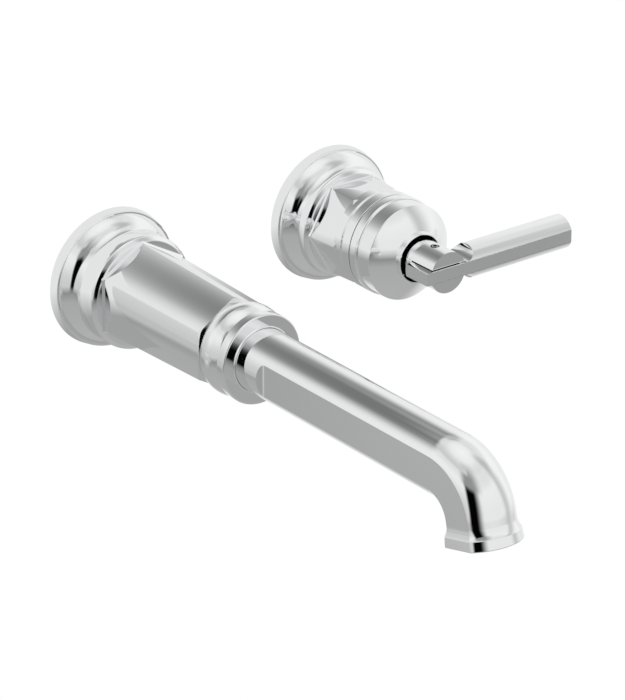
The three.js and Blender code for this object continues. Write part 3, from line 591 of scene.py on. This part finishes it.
class FAUCET_OT_hex_sleeve(bpy.types.Operator):
    """Mills the sleeve: flange, tapered hexagon, shoulder and nose"""

    bl_idname = "faucet.hex_sleeve"
    bl_label = "Hexagonal sleeve"

    def execute(self, context):
        sizes = context.scene.faucet_spout
        edge = sizes.hex_edge_round
        sleeve = turned("hex_sleeve_body", flange_outline(SLEEVE_FLANGE_RADIUS, SLEEVE_FLANGE_REAR))
        combine(sleeve, hexagon("skirt", SLEEVE_SKIRT, edge), "UNION")
        combine(sleeve, hexagon("prism", SLEEVE_HEXAGON, edge), "UNION")
        combine(sleeve, turned("shoulder", SLEEVE_SHOULDER), "UNION")
        combine(sleeve, turned("spigot", SLEEVE_SPIGOT), "UNION")
        for rear, front, radius in SLEEVE_BORES:
            bore(sleeve, rear, front, radius)
        combine(sleeve, rod("screw_way", *SLEEVE_SCREW_WAY, SCREW_STEPS), "DIFFERENCE")
        finish = crowned_chrome("Crowned chrome, sleeve", 0.0, *SLEEVE_CROWNED, sizes.crown)
        dress(sleeve, finish, FIXED, "hex_sleeve")
        return {"FINISHED"}


DISC_OUTLINE = (
    (16.9, 90.4), (17.1, 90.6), (17.15, 92.4), *arc(16.55, 93.9, 0.6, 5, 85, 8), (16.5, 94.5),
    # Rolled bead against the tube
    (12.75, 94.5), (12.65, 94.55), (12.6, 94.7), (12.5, 94.85), (12.35, 94.92), (12.2, 94.88), (12.1, 94.75),
    (12.08, 94.6), (12.08, 90.4),
)


class FAUCET_OT_spout_disc(bpy.types.Operator):
    """Turns the thin disc in front of the sleeve"""

    bl_idname = "faucet.spout_disc"
    bl_label = "Spout disc"

    def execute(self, context):
        disc = turned("spout_disc_ring", DISC_OUTLINE)
        dress(disc, chrome(), FIXED, "spout_disc")
        return {"FINISHED"}


TUBE_REAR = 68.4
BEND_REACH = 201.4
BEND_STEPS = 38
FLATS_REAR = 106.5
FLATS_PAST_BEND = 6
RUN_OUT = 3.4
RUN_OUT_STEPS = 12
CUTTER_HALF = 16
MOUTH_NECK = 1.7
FLARE_LENGTH, FLARE_GROWTH, FLARE_POWER, FLARE_STEPS = 3.8, 1.05, 2.2, 8
# Way along the mouth and growth of its radius
MOUTH_LIP = ((5.62, 1.16), (5.8, 1.2), (9.0, 1.53), (9.2, 1.47), (9.3, 1.3))
MOUTH_POCKET_START, MOUTH_POCKET_END, MOUTH_POCKET_RADIUS = 0.3, 14, 9.4


class FAUCET_OT_spout_tube(bpy.types.Operator):
    """Mills two flats on a round tube, then sweeps its section round the bend and out to the flared mouth"""

    bl_idname = "faucet.spout_tube"
    bl_label = "Spout tube"

    def execute(self, context):
        sizes = context.scene.faucet_spout
        radius = sizes.tube_radius / MM
        flat = sizes.flat_half_width / MM
        tube = rod("spout_tube_body", (0, -TUBE_REAR, 0), (0, -BEND_REACH, 0), radius, ROUND_STEPS)
        # The flats, each with a rounded run-out at its rear
        behind = -(FLATS_REAR + RUN_OUT) * MM
        for side in (-1, 1):
            near, far = sorted((side * flat, side * CUTTER_HALF))
            cutter = box("cutter", (near, -BEND_REACH - FLATS_PAST_BEND, -CUTTER_HALF),
                         (far, -FLATS_REAR, CUTTER_HALF))
            enter_edit()
            select_edges(cutter, lambda a, b: abs(a.x - b.x) < SAME_PLACE and min(a.y, b.y) > behind
                         and abs(abs(a.x) - flat * MM) < SAME_PLACE)
            bpy.ops.mesh.bevel(offset=RUN_OUT * MM, segments=RUN_OUT_STEPS, affect="EDGES")
            leave_edit()
            combine(tube, cutter, "DIFFERENCE")
        # The open front end is swept round the bend
        pick(tube)
        enter_edit()
        select_faces(tube, lambda centre, normal: normal.y < -0.9 and centre.y < -(BEND_REACH - 1) * MM)
        bpy.ops.mesh.delete(type="ONLY_FACE")
        bpy.ops.mesh.select_mode(type="EDGE")
        select_edges(tube, lambda a, b: max(a.y, b.y) < -(BEND_REACH - 0.01) * MM)
        angle = sizes.bend_angle
        centre = Vector((0, -BEND_REACH * MM, -sizes.bend_radius))
        bpy.ops.mesh.spin(steps=BEND_STEPS, angle=angle, center=centre, axis=(-1, 0, 0))
        way = Vector((0, -math.cos(angle), -math.sin(angle)))
        end = centre + Vector((0, -math.sin(angle), math.cos(angle))) * sizes.bend_radius
        # Neck, flare and lip of the mouth
        shares = [step / FLARE_STEPS for step in range(1, FLARE_STEPS + 1)]
        mouth = [(MOUTH_NECK, radius)]
        mouth += [(MOUTH_NECK + FLARE_LENGTH * share, radius + FLARE_GROWTH * share ** FLARE_POWER)
                  for share in shares]
        mouth += [(reach, radius + growth) for reach, growth in MOUTH_LIP]
        last_reach, last_size = 0.0, radius
        for reach, size in mouth:
            step = way * ((reach - last_reach) * MM)
            bpy.ops.mesh.extrude_region_move(TRANSFORM_OT_translate={"value": step})
            grow = size / last_size
            bpy.ops.transform.resize(value=(grow, grow, grow), center_override=end + way * reach * MM)
            last_reach, last_size = reach, size
        bpy.ops.mesh.edge_face_add()
        bpy.ops.mesh.select_all(action="SELECT")
        bpy.ops.mesh.normals_make_consistent(inside=False)
        leave_edit()
        pocket_start = (end + way * MOUTH_POCKET_START * MM) / MM
        pocket_end = (end + way * MOUTH_POCKET_END * MM) / MM
        combine(tube, rod("pocket", pocket_start, pocket_end, MOUTH_POCKET_RADIUS), "DIFFERENCE")
        dress(tube, chrome(), FIXED, "spout_tube")
        return {"FINISHED"}


BONNET_FLANGE_RADIUS, BONNET_FLANGE_REAR = 21.6, 12.3
BONNET_SKIRT = (20.9, 20.0, 15.1, 16.2)
BONNET_HEXAGON = (20.1, 19.5, 13.7, 30.0)
BONNET_HEXAGON_TURN = math.pi / 6
BONNET_CROWNED = (15.9, 29.99)
# Turned shape that takes the front corners off the hexagon
BONNET_BLANK = ((0, 13), (23, 13), (23, 25), (19.5, 29.2), (18.7, 30.0), (0, 30.0))
BONNET_DRUM = (
    (0, 28.5), (18.7, 28.5), (18.7, 31.8), *arc(20.1, 32.2, 1.4, 180, 155, 4),
    *arc(18.6, 34.5, 0.8, -30, 0, 5), (19.4, 38.4), (19.3, 38.6), (0, 38.6),
)
BONNET_SPIGOT = ((0, 8.3), (15.2, 8.3), (15.2, 12.6), (0, 12.6))
BONNET_BORES = ((6, 15, 11.3), (14.3, 39, 15.4), (32.6, 40, 16.9))


class FAUCET_OT_hex_bonnet(bpy.types.Operator):
    """Mills the bonnet of the lever unit: flange, hexagon, waist and drum"""

    bl_idname = "faucet.hex_bonnet"
    bl_label = "Hexagonal bonnet"

    def execute(self, context):
        sizes = context.scene.faucet_spout
        edge, turn = sizes.hex_edge_round, BONNET_HEXAGON_TURN
        bonnet = turned("hex_bonnet_body", flange_outline(BONNET_FLANGE_RADIUS, BONNET_FLANGE_REAR), LEVER_X)
        combine(bonnet, hexagon("skirt", BONNET_SKIRT, edge, LEVER_X, turn), "UNION")
        prism = hexagon("prism", BONNET_HEXAGON, edge, LEVER_X, turn)
        combine(prism, turned("blank", BONNET_BLANK, LEVER_X), "INTERSECT")
        combine(bonnet, prism, "UNION")
        combine(bonnet, turned("drum", BONNET_DRUM, LEVER_X), "UNION")
        combine(bonnet, turned("spigot", BONNET_SPIGOT, LEVER_X), "UNION")
        for rear, front, radius in BONNET_BORES:
            bore(bonnet, rear, front, radius, LEVER_X)
        finish = crowned_chrome("Crowned chrome, bonnet", LEVER_X, *BONNET_CROWNED, sizes.crown)
        dress(bonnet, finish, FIXED, "hex_bonnet")
        return {"FINISHED"}


CAP_OUTLINE = (
    # Grip ring
    (16.6, 32.9), (16.6, 38.9), (19.3, 38.9), (19.42, 39.1), (19.5, 39.4), (19.5, 42.0),
    *oval(18.85, 42.2, 0.65, 1.1, 8),
    # Band and bulged cone
    *arc(18.35, 49.9, 0.5, 0, 50, 6), *bulged((18.67, 50.28), (10.1, 55.3), (0.7, 1.2), 10),
    # Small raised ring, then the inside
    (10.0, 55.45), (10.0, 57.2), (9.9, 57.45), (9.7, 57.6), (9.5, 57.6), (9.35, 57.5),
    (9.35, 53.4), (14.6, 44.6), (14.6, 32.9),
)


class FAUCET_OT_bonnet_cap(bpy.types.Operator):
    """Turns the cap: grip ring, band, bulged cone and small raised ring"""

    bl_idname = "faucet.bonnet_cap"
    bl_label = "Bonnet cap"

    def execute(self, context):
        cap = turned("bonnet_cap_shell", CAP_OUTLINE, LEVER_X)
        dress(cap, chrome(), FIXED, "bonnet_cap")
        return {"FINISHED"}


HUB_OUTLINE = ((0, 42.0), (8.13, 42.0), (8.13, 74.2), (0, 74.2))
HUB_STEPS = 96
HUB_SLOT_HALF_WIDTH, HUB_SLOT_REAR, HUB_SLOT_FRONT, HUB_SLOT_HALF_HEIGHT = 12, 61.98, 80, 2.8
HUB_SCREW_REACH, HUB_SCREW_TOP, HUB_SCREW_RADIUS = 66.2, 12, 1.75
# Stem socket, screw seat and screw hole
HUB_BORES = ((40, 54, 4.2), (58.3, 63, 3.5), (53, 60, 2.2))
HUB_EDGE_ROUND = 0.12


class FAUCET_OT_lever_hub(bpy.types.Operator):
    """Turns the hub and cuts its slot, its screw way and its bores"""

    bl_idname = "faucet.lever_hub"
    bl_label = "Lever hub"

    def execute(self, context):
        x = LEVER_X / MM
        hub = turned("lever_hub_stem", HUB_OUTLINE, LEVER_X, HUB_STEPS)
        slot = box("slot", (x - HUB_SLOT_HALF_WIDTH, -HUB_SLOT_FRONT, -HUB_SLOT_HALF_HEIGHT),
                   (x + HUB_SLOT_HALF_WIDTH, -HUB_SLOT_REAR, HUB_SLOT_HALF_HEIGHT))
        combine(hub, slot, "DIFFERENCE")
        screw_way = rod("screw_way", (x, -HUB_SCREW_REACH, 0), (x, -HUB_SCREW_REACH, HUB_SCREW_TOP),
                        HUB_SCREW_RADIUS, SCREW_STEPS)
        combine(hub, screw_way, "DIFFERENCE")
        for rear, front, radius in HUB_BORES:
            bore(hub, rear, front, radius, LEVER_X, SCREW_STEPS)
        round_edges(hub, HUB_EDGE_ROUND * MM, 2)
        dress(hub, chrome(), TURNING, "lever_hub")
        return {"FINISHED"}


LEVER_FRONT = 75.2
LEVER_TAIL, LEVER_TIP = -10.8, 59.18
LEVER_STEPS = 160
# The blade's cutters: from past the tail to where the scoops start, and from behind the bar to its front
RELIEF_TAIL, RELIEF_TIP, RELIEF_REAR, RELIEF_FRONT, RELIEF_HEIGHT = -20, 8, 50, 90, 20
SCOOP_RADIUS = 5.0
SCOOP_STEPS = 128


class FAUCET_OT_lever(bpy.types.Operator):
    """Mills the lever from a round bar: flat front, blade and two scoops"""

    bl_idname = "faucet.lever"
    bl_label = "Lever"

    def execute(self, context):
        sizes = context.scene.faucet_lever
        radius = sizes.bar_radius / MM
        half = sizes.blade_height / MM / 2
        x = LEVER_X / MM
        reach = LEVER_FRONT - math.sqrt(radius ** 2 - half ** 2)
        lever = rod("lever_bar", (x + LEVER_TAIL, -reach, 0), (x + LEVER_TIP, -reach, 0), radius, LEVER_STEPS)
        enter_edit()
        bpy.ops.mesh.select_all(action="SELECT")
        bpy.ops.mesh.bisect(
            plane_co=(0, -LEVER_FRONT * MM, 0), plane_no=(0, -1, 0), clear_outer=True, use_fill=True)
        leave_edit()
        for side in (-1, 1):
            low, high = sorted((side * half, side * RELIEF_HEIGHT))
            relief_end = x + RELIEF_TIP
            relief = box("relief", (x + RELIEF_TAIL, -RELIEF_FRONT, low), (relief_end, -RELIEF_REAR, high))
            combine(lever, relief, "DIFFERENCE")
            centre = side * (half + SCOOP_RADIUS)
            scoop = rod("scoop", (relief_end, -RELIEF_FRONT, centre), (relief_end, -RELIEF_REAR, centre),
                        SCOOP_RADIUS, SCOOP_STEPS)
            combine(lever, scoop, "DIFFERENCE")
        round_edges(lever, sizes.edge_round, 3)
        dress(lever, chrome(), TURNING, "lever")
        return {"FINISHED"}


FINISHES = {
    "chrome": ("aerator_housing",),
    "brass": ("spout_nipple", "spout_elbow", "cartridge_body", "cartridge_stem", "bonnet_nut", "valve_body"),
    "copper": ("cross_pipe",),
    "steel": ("aerator_screen", "spout_grub_screw", "lever_grub_screw", "hub_screw",
              "clamp_screw_1", "clamp_screw_2", "wall_bracket",
              "wall_screw_1", "wall_screw_2", "wall_screw_3", "wall_screw_4"),
    "seal_rubber": ("aerator_washer", "nipple_seal_1", "nipple_seal_2", "tube_seal_1", "tube_seal_2"),
    "white_plastic": ("aerator_insert",),
    "gasket_foam": ("spout_gasket", "lever_gasket"),
}


class FAUCET_OT_finishes(bpy.types.Operator):
    """Gives the pieces that keep their own solids their finishes"""

    bl_idname = "faucet.finishes"
    bl_label = "Concealed finishes"

    def execute(self, context):
        finish = context.scene.faucet_finish
        kinds = {
            "chrome": chrome(),
            "brass": metal("Cast brass", finish.brass, roughness=0.34, spread=0.16, scale=160, tint=0.25,
                           bump=0.25, bump_depth=8e-5),
            "copper": metal("Drawn copper", finish.copper, roughness=0.22, spread=0.12, scale=60, tint=0.2,
                            bump=0.08),
            "steel": metal("Plain steel", finish.steel, roughness=0.32, spread=0.1, scale=120, tint=0.12,
                           bump=0.12),
            "seal_rubber": moulded("Seal rubber", colour=(0.012, 0.012, 0.013), roughness=0.55, speckle=0.25,
                                   scale=900, bump=0.3),
            "white_plastic": moulded("Insert plastic", colour=(0.72, 0.71, 0.67), roughness=0.4, speckle=0.04,
                                     scale=600, bump=0.1),
            "gasket_foam": moulded("Gasket foam", colour=(0.06, 0.063, 0.07), roughness=0.95, speckle=0.5,
                                   scale=1400, bump=0.8),
        }
        for kind, nodes in FINISHES.items():
            for node in nodes:
                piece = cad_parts[node]
                piece.data.materials.clear()
                piece.data.materials.append(kinds[kind])
        return {"FINISHED"}


# Stage

CARD_SOCKETS = ("Centre around", "Centre above", "Half width", "Half height",
                "Soft left", "Soft right", "Soft below", "Soft above", "Level")


def card_group():
    """A soft-edged card of the light tent, placed by compass angle and height angle in degrees"""
    if "Card" in bpy.data.node_groups:
        return bpy.data.node_groups["Card"]
    group, enter, leave = new_group(
        "Card", {"Float": ("Around", "Above", "Light", *CARD_SOCKETS)}, {"Float": ("Light",)})
    cover = None
    for row, (angle, centre, half, softs) in enumerate((
            ("Around", "Centre around", "Half width", ("Soft right", "Soft left")),
            ("Above", "Centre above", "Half height", ("Soft above", "Soft below")))):
        away = sum_node(group, "SUBTRACT", (-850, -400 * row))
        wire(group, (enter, angle, away, 0), (enter, centre, away, 1))
        if angle == "Around":
            wrapped = fill(sum_node(group, "WRAP", (-650, -400 * row)), {1: 180, 2: -180})
            wire(group, (away, 0, wrapped, 0))
            away = wrapped
        for side, soft in enumerate(softs):
            place = -400 * row - 200 * side
            beyond = sum_node(group, "MULTIPLY", (-450, place), 1 - 2 * side)
            stop = sum_node(group, "ADD", (-250, place))
            mask = add_node(group, "ShaderNodeMapRange", (-50, place), interpolation_type="SMOOTHSTEP")
            fill(mask, {"To Min": 1, "To Max": 0})
            wire(group,
                 (away, 0, beyond, 0), (enter, half, stop, 0), (enter, soft, stop, 1),
                 (beyond, 0, mask, "Value"), (enter, half, mask, "From Min"), (stop, 0, mask, "From Max"))
            if cover is None:
                cover = mask
                continue
            both = sum_node(group, "MULTIPLY", (200 + 180 * (2 * row + side), place))
            wire(group, (cover, 0, both, 0), (mask, 0, both, 1))
            cover = both
    mix = add_node(group, "ShaderNodeMix", (1000, 0), data_type="FLOAT")
    wire(group,
         (cover, 0, mix, "Factor"), (enter, "Light", mix, "A"), (enter, "Level", mix, "B"),
         (mix, "Result", leave, "Light"))
    return group


RAMP_HALF_HEIGHT = 0.05
FLOOR_COLOUR = (0.92, 0.92, 0.92, 1)
FLOOR_SIZE = 6
BACKDROP_SIZE = 1.6
BACKDROP_PLACE = (0.05, 0.0004, 0)
# Box round the concealed pieces, in millimetres, that the metal mirrors in place of the wall
TENT_CARD_CORNERS = ((-42, 0.8, -50), (144, 72, 34))
TENT_CENTRE = (0.05, -0.1, 0.0)
# Level of the tent by height angle, from a fit to the photo
TENT_LEVELS = (
    (-90, 0.474), (-30, 0.427), (-24, 0.368), (-17, 0.293), (-8, 0.637), (0, 0.872), (10, 0.875), (22, 0.898),
    (32, 0.921), (40, 0.834), (46, 0.807), (52, 0.823), (58, 0.774), (64, 0.802), (72, 0.910), (90, 0.982),
)
# Soft cards on the tent, from that fit: a label, then a value for each of the card's sockets
CARDS = (
    ("Black flag", -127.8, 10.2, 7.0, 18.7, 21.5, 8.5, 11.4, 14.4, 0.001),
    ("Left haze", -129.6, 38.4, 6.4, 4.0, 35.2, 19.7, 9.3, 29.4, 0.309),
    ("Dim strip", 122.4, 21.6, 3.1, 30.4, 23.4, 21.0, 13.5, 27.5, 0.543),
    ("Grey arch", 2.7, 48.2, 25.7, 0.5, 33.2, 33.1, 28.9, 8.9, 0.198),
    ("Bright side", 80.8, 12.9, 17.8, 15.8, 28.3, 38.6, 31.3, 20.9, 0.976),
    ("Left glow", -63.0, -0.7, 3.2, 7.7, 8.4, 24.4, 23.9, 22.7, 1.089),
    ("Upper haze", -83.7, 51.9, 44.7, 0.7, 4.6, 22.5, 7.1, 13.6, 0.653),
    ("Low haze", -63.8, -5.1, 46.4, 0.5, 6.9, 36.9, 4.6, 33.1, 0.654),
    ("Right haze", 32.2, 55.7, 4.5, 4.0, 24.4, 19.2, 12.9, 5.0, 0.528),
    ("Low band", -39.4, -14.7, 37.6, 0.6, 8.6, 2.2, 7.7, 12.3, 0.562),
    ("Low glow", 48.2, -14.4, 31.9, 14.8, 21.8, 26.0, 34.7, 23.7, 0.892),
)


def tent_light(tree, way):
    """Nodes that give the light of the tent in a direction, which is the first output of a node"""
    unit = add_node(tree, "ShaderNodeVectorMath", (-1500, 0), operation="NORMALIZE")
    split = add_node(tree, "ShaderNodeSeparateXYZ", (-1300, 0))
    around = sum_node(tree, "ARCTAN2", (-1100, 200))
    above = sum_node(tree, "ARCSINE", (-1100, 0))
    around_degrees = sum_node(tree, "DEGREES", (-900, 200))
    above_degrees = sum_node(tree, "DEGREES", (-900, 0))
    share = fill(add_node(tree, "ShaderNodeMapRange", (-700, -200)), {"From Min": -90, "From Max": 90})
    ramp = add_node(tree, "ShaderNodeValToRGB", (-500, -200))
    points = ramp.color_ramp.elements
    while len(points) < len(TENT_LEVELS):
        points.new(0.5)
    for point, (angle, level) in zip(points, TENT_LEVELS):
        point.position = (angle + 90) / 180
        point.color = (level, level, level, 1)
    wire(tree,
         (way, 0, unit, 0), (unit, 0, split, 0),
         (split, "X", around, 0), (split, "Y", around, 1), (split, "Z", above, 0),
         (around, 0, around_degrees, 0), (above, 0, above_degrees, 0),
         (above_degrees, 0, share, "Value"), (share, "Result", ramp, "Fac"))
    light = ramp
    for column, (label, *values) in enumerate(CARDS):
        card = add_node(tree, "ShaderNodeGroup", (-200 + 180 * column, 0), node_tree=card_group())
        card.label = label
        fill(card, dict(zip(CARD_SOCKETS, values)))
        wire(tree,
             (around_degrees, 0, card, "Around"), (above_degrees, 0, card, "Above"),
             (light, 0, card, "Light"))
        light = card
    return light


def studio_world():
    """Plain white light all round"""
    world = bpy.data.worlds.new("Studio")
    bpy.context.scene.world = world
    world.use_nodes = True
    tree = world.node_tree
    tree.nodes.clear()
    out = add_node(tree, "ShaderNodeOutputWorld", (300, 0))
    back = fill(add_node(tree, "ShaderNodeBackground", (0, 0)), {"Color": (1, 1, 1, 1), "Strength": 1.0})
    wire(tree, (back, 0, out, "Surface"))


def tent_material():
    """The inside of the light tent, which only reflections meet"""
    material, tree = blank_material("Light tent")
    out = add_node(tree, "ShaderNodeOutputMaterial", (2600, 0))
    mix = add_node(tree, "ShaderNodeMixShader", (2400, 0))
    clear = add_node(tree, "ShaderNodeBsdfTransparent", (2200, 100))
    glow = add_node(tree, "ShaderNodeEmission", (2200, -100))
    path = add_node(tree, "ShaderNodeLightPath", (2000, 300))
    place = add_node(tree, "ShaderNodeTexCoord", (-1900, 0))
    centre = add_node(tree, "ShaderNodeVectorMath", (-1700, 0), operation="SUBTRACT")
    centre.inputs[1].default_value = TENT_CENTRE
    wire(tree,
         (place, "Object", centre, 0), (tent_light(tree, centre), 0, glow, "Strength"),
         (path, "Is Glossy Ray", mix, 0), (clear, 0, mix, 1), (glow, 0, mix, 2), (mix, 0, out, "Surface"))
    return material


def one_way(name, ray, low, high):
    """Glows for one kind of ray that meets its front, from a low to a high (share of the ramp, level)"""
    material, tree = blank_material(name)
    out = add_node(tree, "ShaderNodeOutputMaterial", (500, 0))
    mix = add_node(tree, "ShaderNodeMixShader", (300, 0))
    clear = add_node(tree, "ShaderNodeBsdfTransparent", (0, 100))
    glow = add_node(tree, "ShaderNodeEmission", (0, -100))
    path = add_node(tree, "ShaderNodeLightPath", (-500, 200))
    side = add_node(tree, "ShaderNodeNewGeometry", (-500, -200))
    front = fill(sum_node(tree, "SUBTRACT", (-300, -100)), {0: 1.0})
    seen = sum_node(tree, "MULTIPLY", (-150, 0))
    place = add_node(tree, "ShaderNodeTexCoord", (-900, -400))
    split = add_node(tree, "ShaderNodeSeparateXYZ", (-700, -400))
    height = fill(add_node(tree, "ShaderNodeMapRange", (-500, -400)),
                  {"From Min": -RAMP_HALF_HEIGHT, "From Max": RAMP_HALF_HEIGHT})
    ramp = add_node(tree, "ShaderNodeValToRGB", (-300, -400))
    for stop, (share, level) in zip(ramp.color_ramp.elements, (low, high)):
        stop.position = share
        stop.color = (level, level, level, 1)
    wire(tree,
         (place, "Object", split, 0), (split, "Z", height, "Value"), (height, "Result", ramp, "Fac"),
         (ramp, "Color", glow, "Color"), (side, "Backfacing", front, 1),
         (path, ray, seen, 0), (front, 0, seen, 1), (seen, 0, mix, 0),
         (clear, 0, mix, 1), (glow, 0, mix, 2), (mix, 0, out, "Surface"))
    return material


def floor_material():
    """A pale floor that keeps the object's shadow and lets the metal mirror the tent below it"""
    material, tree = blank_material("Pale floor")
    out = add_node(tree, "ShaderNodeOutputMaterial", (500, 0))
    mix = add_node(tree, "ShaderNodeMixShader", (300, 0))
    pale = add_node(tree, "ShaderNodeBsdfDiffuse", (0, 100))
    pale.inputs["Color"].default_value = FLOOR_COLOUR
    clear = add_node(tree, "ShaderNodeBsdfTransparent", (0, -100))
    path = add_node(tree, "ShaderNodeLightPath", (-200, 200))
    wire(tree,
         (path, "Is Glossy Ray", mix, 0), (pale, 0, mix, 1), (clear, 0, mix, 2), (mix, 0, out, "Surface"))
    return material


CAMERA_AZIMUTH, CAMERA_LIFT = -37.31, 24.46
CAMERA_PLACE = (-841.71, -1228.65, 646.18)
SENSOR_WIDTH = 36
LENS = 224.38
CLIP_END = 20


def photo_camera(scene):
    """Places the camera as it stood for the photo"""
    deselect()
    bpy.ops.object.camera_add()
    camera = bpy.context.object
    camera.name = "Photo camera"
    azimuth, lift = math.radians(CAMERA_AZIMUTH), math.radians(CAMERA_LIFT)
    right = Vector((math.cos(azimuth), math.sin(azimuth), 0))
    back = Vector((math.sin(azimuth) * math.cos(lift), -math.cos(azimuth) * math.cos(lift), math.sin(lift)))
    turn = Matrix((right, back.cross(right), back)).transposed().to_4x4()
    camera.matrix_world = Matrix.Translation(Vector(CAMERA_PLACE) * MM) @ turn
    camera.data.sensor_width = SENSOR_WIDTH
    camera.data.lens = LENS
    camera.data.clip_end = CLIP_END
    scene.camera = camera


class FAUCET_OT_stage(bpy.types.Operator):
    """Sets up the camera, the backdrop at the wall, the floor and the light"""

    bl_idname = "faucet.stage"
    bl_label = "Stage"

    def execute(self, context):
        scene = context.scene
        levels = scene.faucet_studio
        scene.view_settings.view_transform = "Standard"
        photo_camera(scene)
        studio_world()
        deselect()
        bpy.ops.mesh.primitive_uv_sphere_add(
            segments=96, ring_count=48, radius=levels.tent_radius, location=TENT_CENTRE)
        tent = settle(bpy.context.object, "light_tent")
        bpy.ops.object.shade_smooth()
        tent.data.materials.append(tent_material())
        deselect()
        bpy.ops.mesh.primitive_plane_add(
            size=BACKDROP_SIZE, location=BACKDROP_PLACE, rotation=(math.pi / 2, 0, 0))
        wall = settle(bpy.context.object, "backdrop")
        wall.data.materials.append(one_way("Backdrop", "Is Camera Ray", (0, 1.0), (1, 1.0)))
        shade = box("tent_card", *TENT_CARD_CORNERS)
        shade.data.materials.append(one_way("Tent card", "Is Glossy Ray", (0.3, 0.38), (0.5, 0.85)))
        deselect()
        bpy.ops.mesh.primitive_plane_add(size=FLOOR_SIZE, location=(0, 0, levels.floor_height))
        floor = settle(bpy.context.object, "floor")
        floor.data.materials.append(floor_material())
        return {"FINISHED"}


class FAUCET_PT_panel(bpy.types.Panel):
    """Lists the faucet's pieces in build order"""

    bl_idname = "FAUCET_PT_panel"
    bl_label = "Wall faucet"
    bl_space_type = "VIEW_3D"
    bl_region_type = "UI"
    bl_category = "Faucet"

    def draw(self, context):
        for settings in SETTINGS:
            group = getattr(context.scene, settings)
            column = self.layout.column(align=True)
            for name in group.bl_rna.properties.keys():
                if name not in ("name", "rna_type"):
                    column.prop(group, name)
        for step in STEPS:
            self.layout.operator(step.bl_idname)


SETTINGS = {
    "faucet_spout": SpoutSizes,
    "faucet_lever": LeverSizes,
    "faucet_finish": FinishColours,
    "faucet_studio": StudioLevels,
}
STEPS = (
    FAUCET_OT_stage,
    FAUCET_OT_escutcheons,
    FAUCET_OT_hex_sleeve,
    FAUCET_OT_spout_disc,
    FAUCET_OT_spout_tube,
    FAUCET_OT_hex_bonnet,
    FAUCET_OT_bonnet_cap,
    FAUCET_OT_lever_hub,
    FAUCET_OT_lever,
    FAUCET_OT_finishes,
)


def register():
    for settings, kind in SETTINGS.items():
        bpy.utils.register_class(kind)
        setattr(bpy.types.Scene, settings, bpy.props.PointerProperty(type=kind))
    for step in STEPS:
        bpy.utils.register_class(step)
    bpy.utils.register_class(FAUCET_PT_panel)


def unregister():
    bpy.utils.unregister_class(FAUCET_PT_panel)
    for step in reversed(STEPS):
        bpy.utils.unregister_class(step)
    for settings, kind in SETTINGS.items():
        delattr(bpy.types.Scene, settings)
        bpy.utils.unregister_class(kind)


def main():
    register()
    bpy.ops.faucet.stage()
    bpy.ops.faucet.escutcheons()
    bpy.ops.faucet.hex_sleeve()
    bpy.ops.faucet.spout_disc()
    bpy.ops.faucet.spout_tube()
    bpy.ops.faucet.hex_bonnet()
    bpy.ops.faucet.bonnet_cap()
    bpy.ops.faucet.lever_hub()
    bpy.ops.faucet.lever()
    bpy.ops.faucet.finishes()


if __name__ == "__main__":
    main()
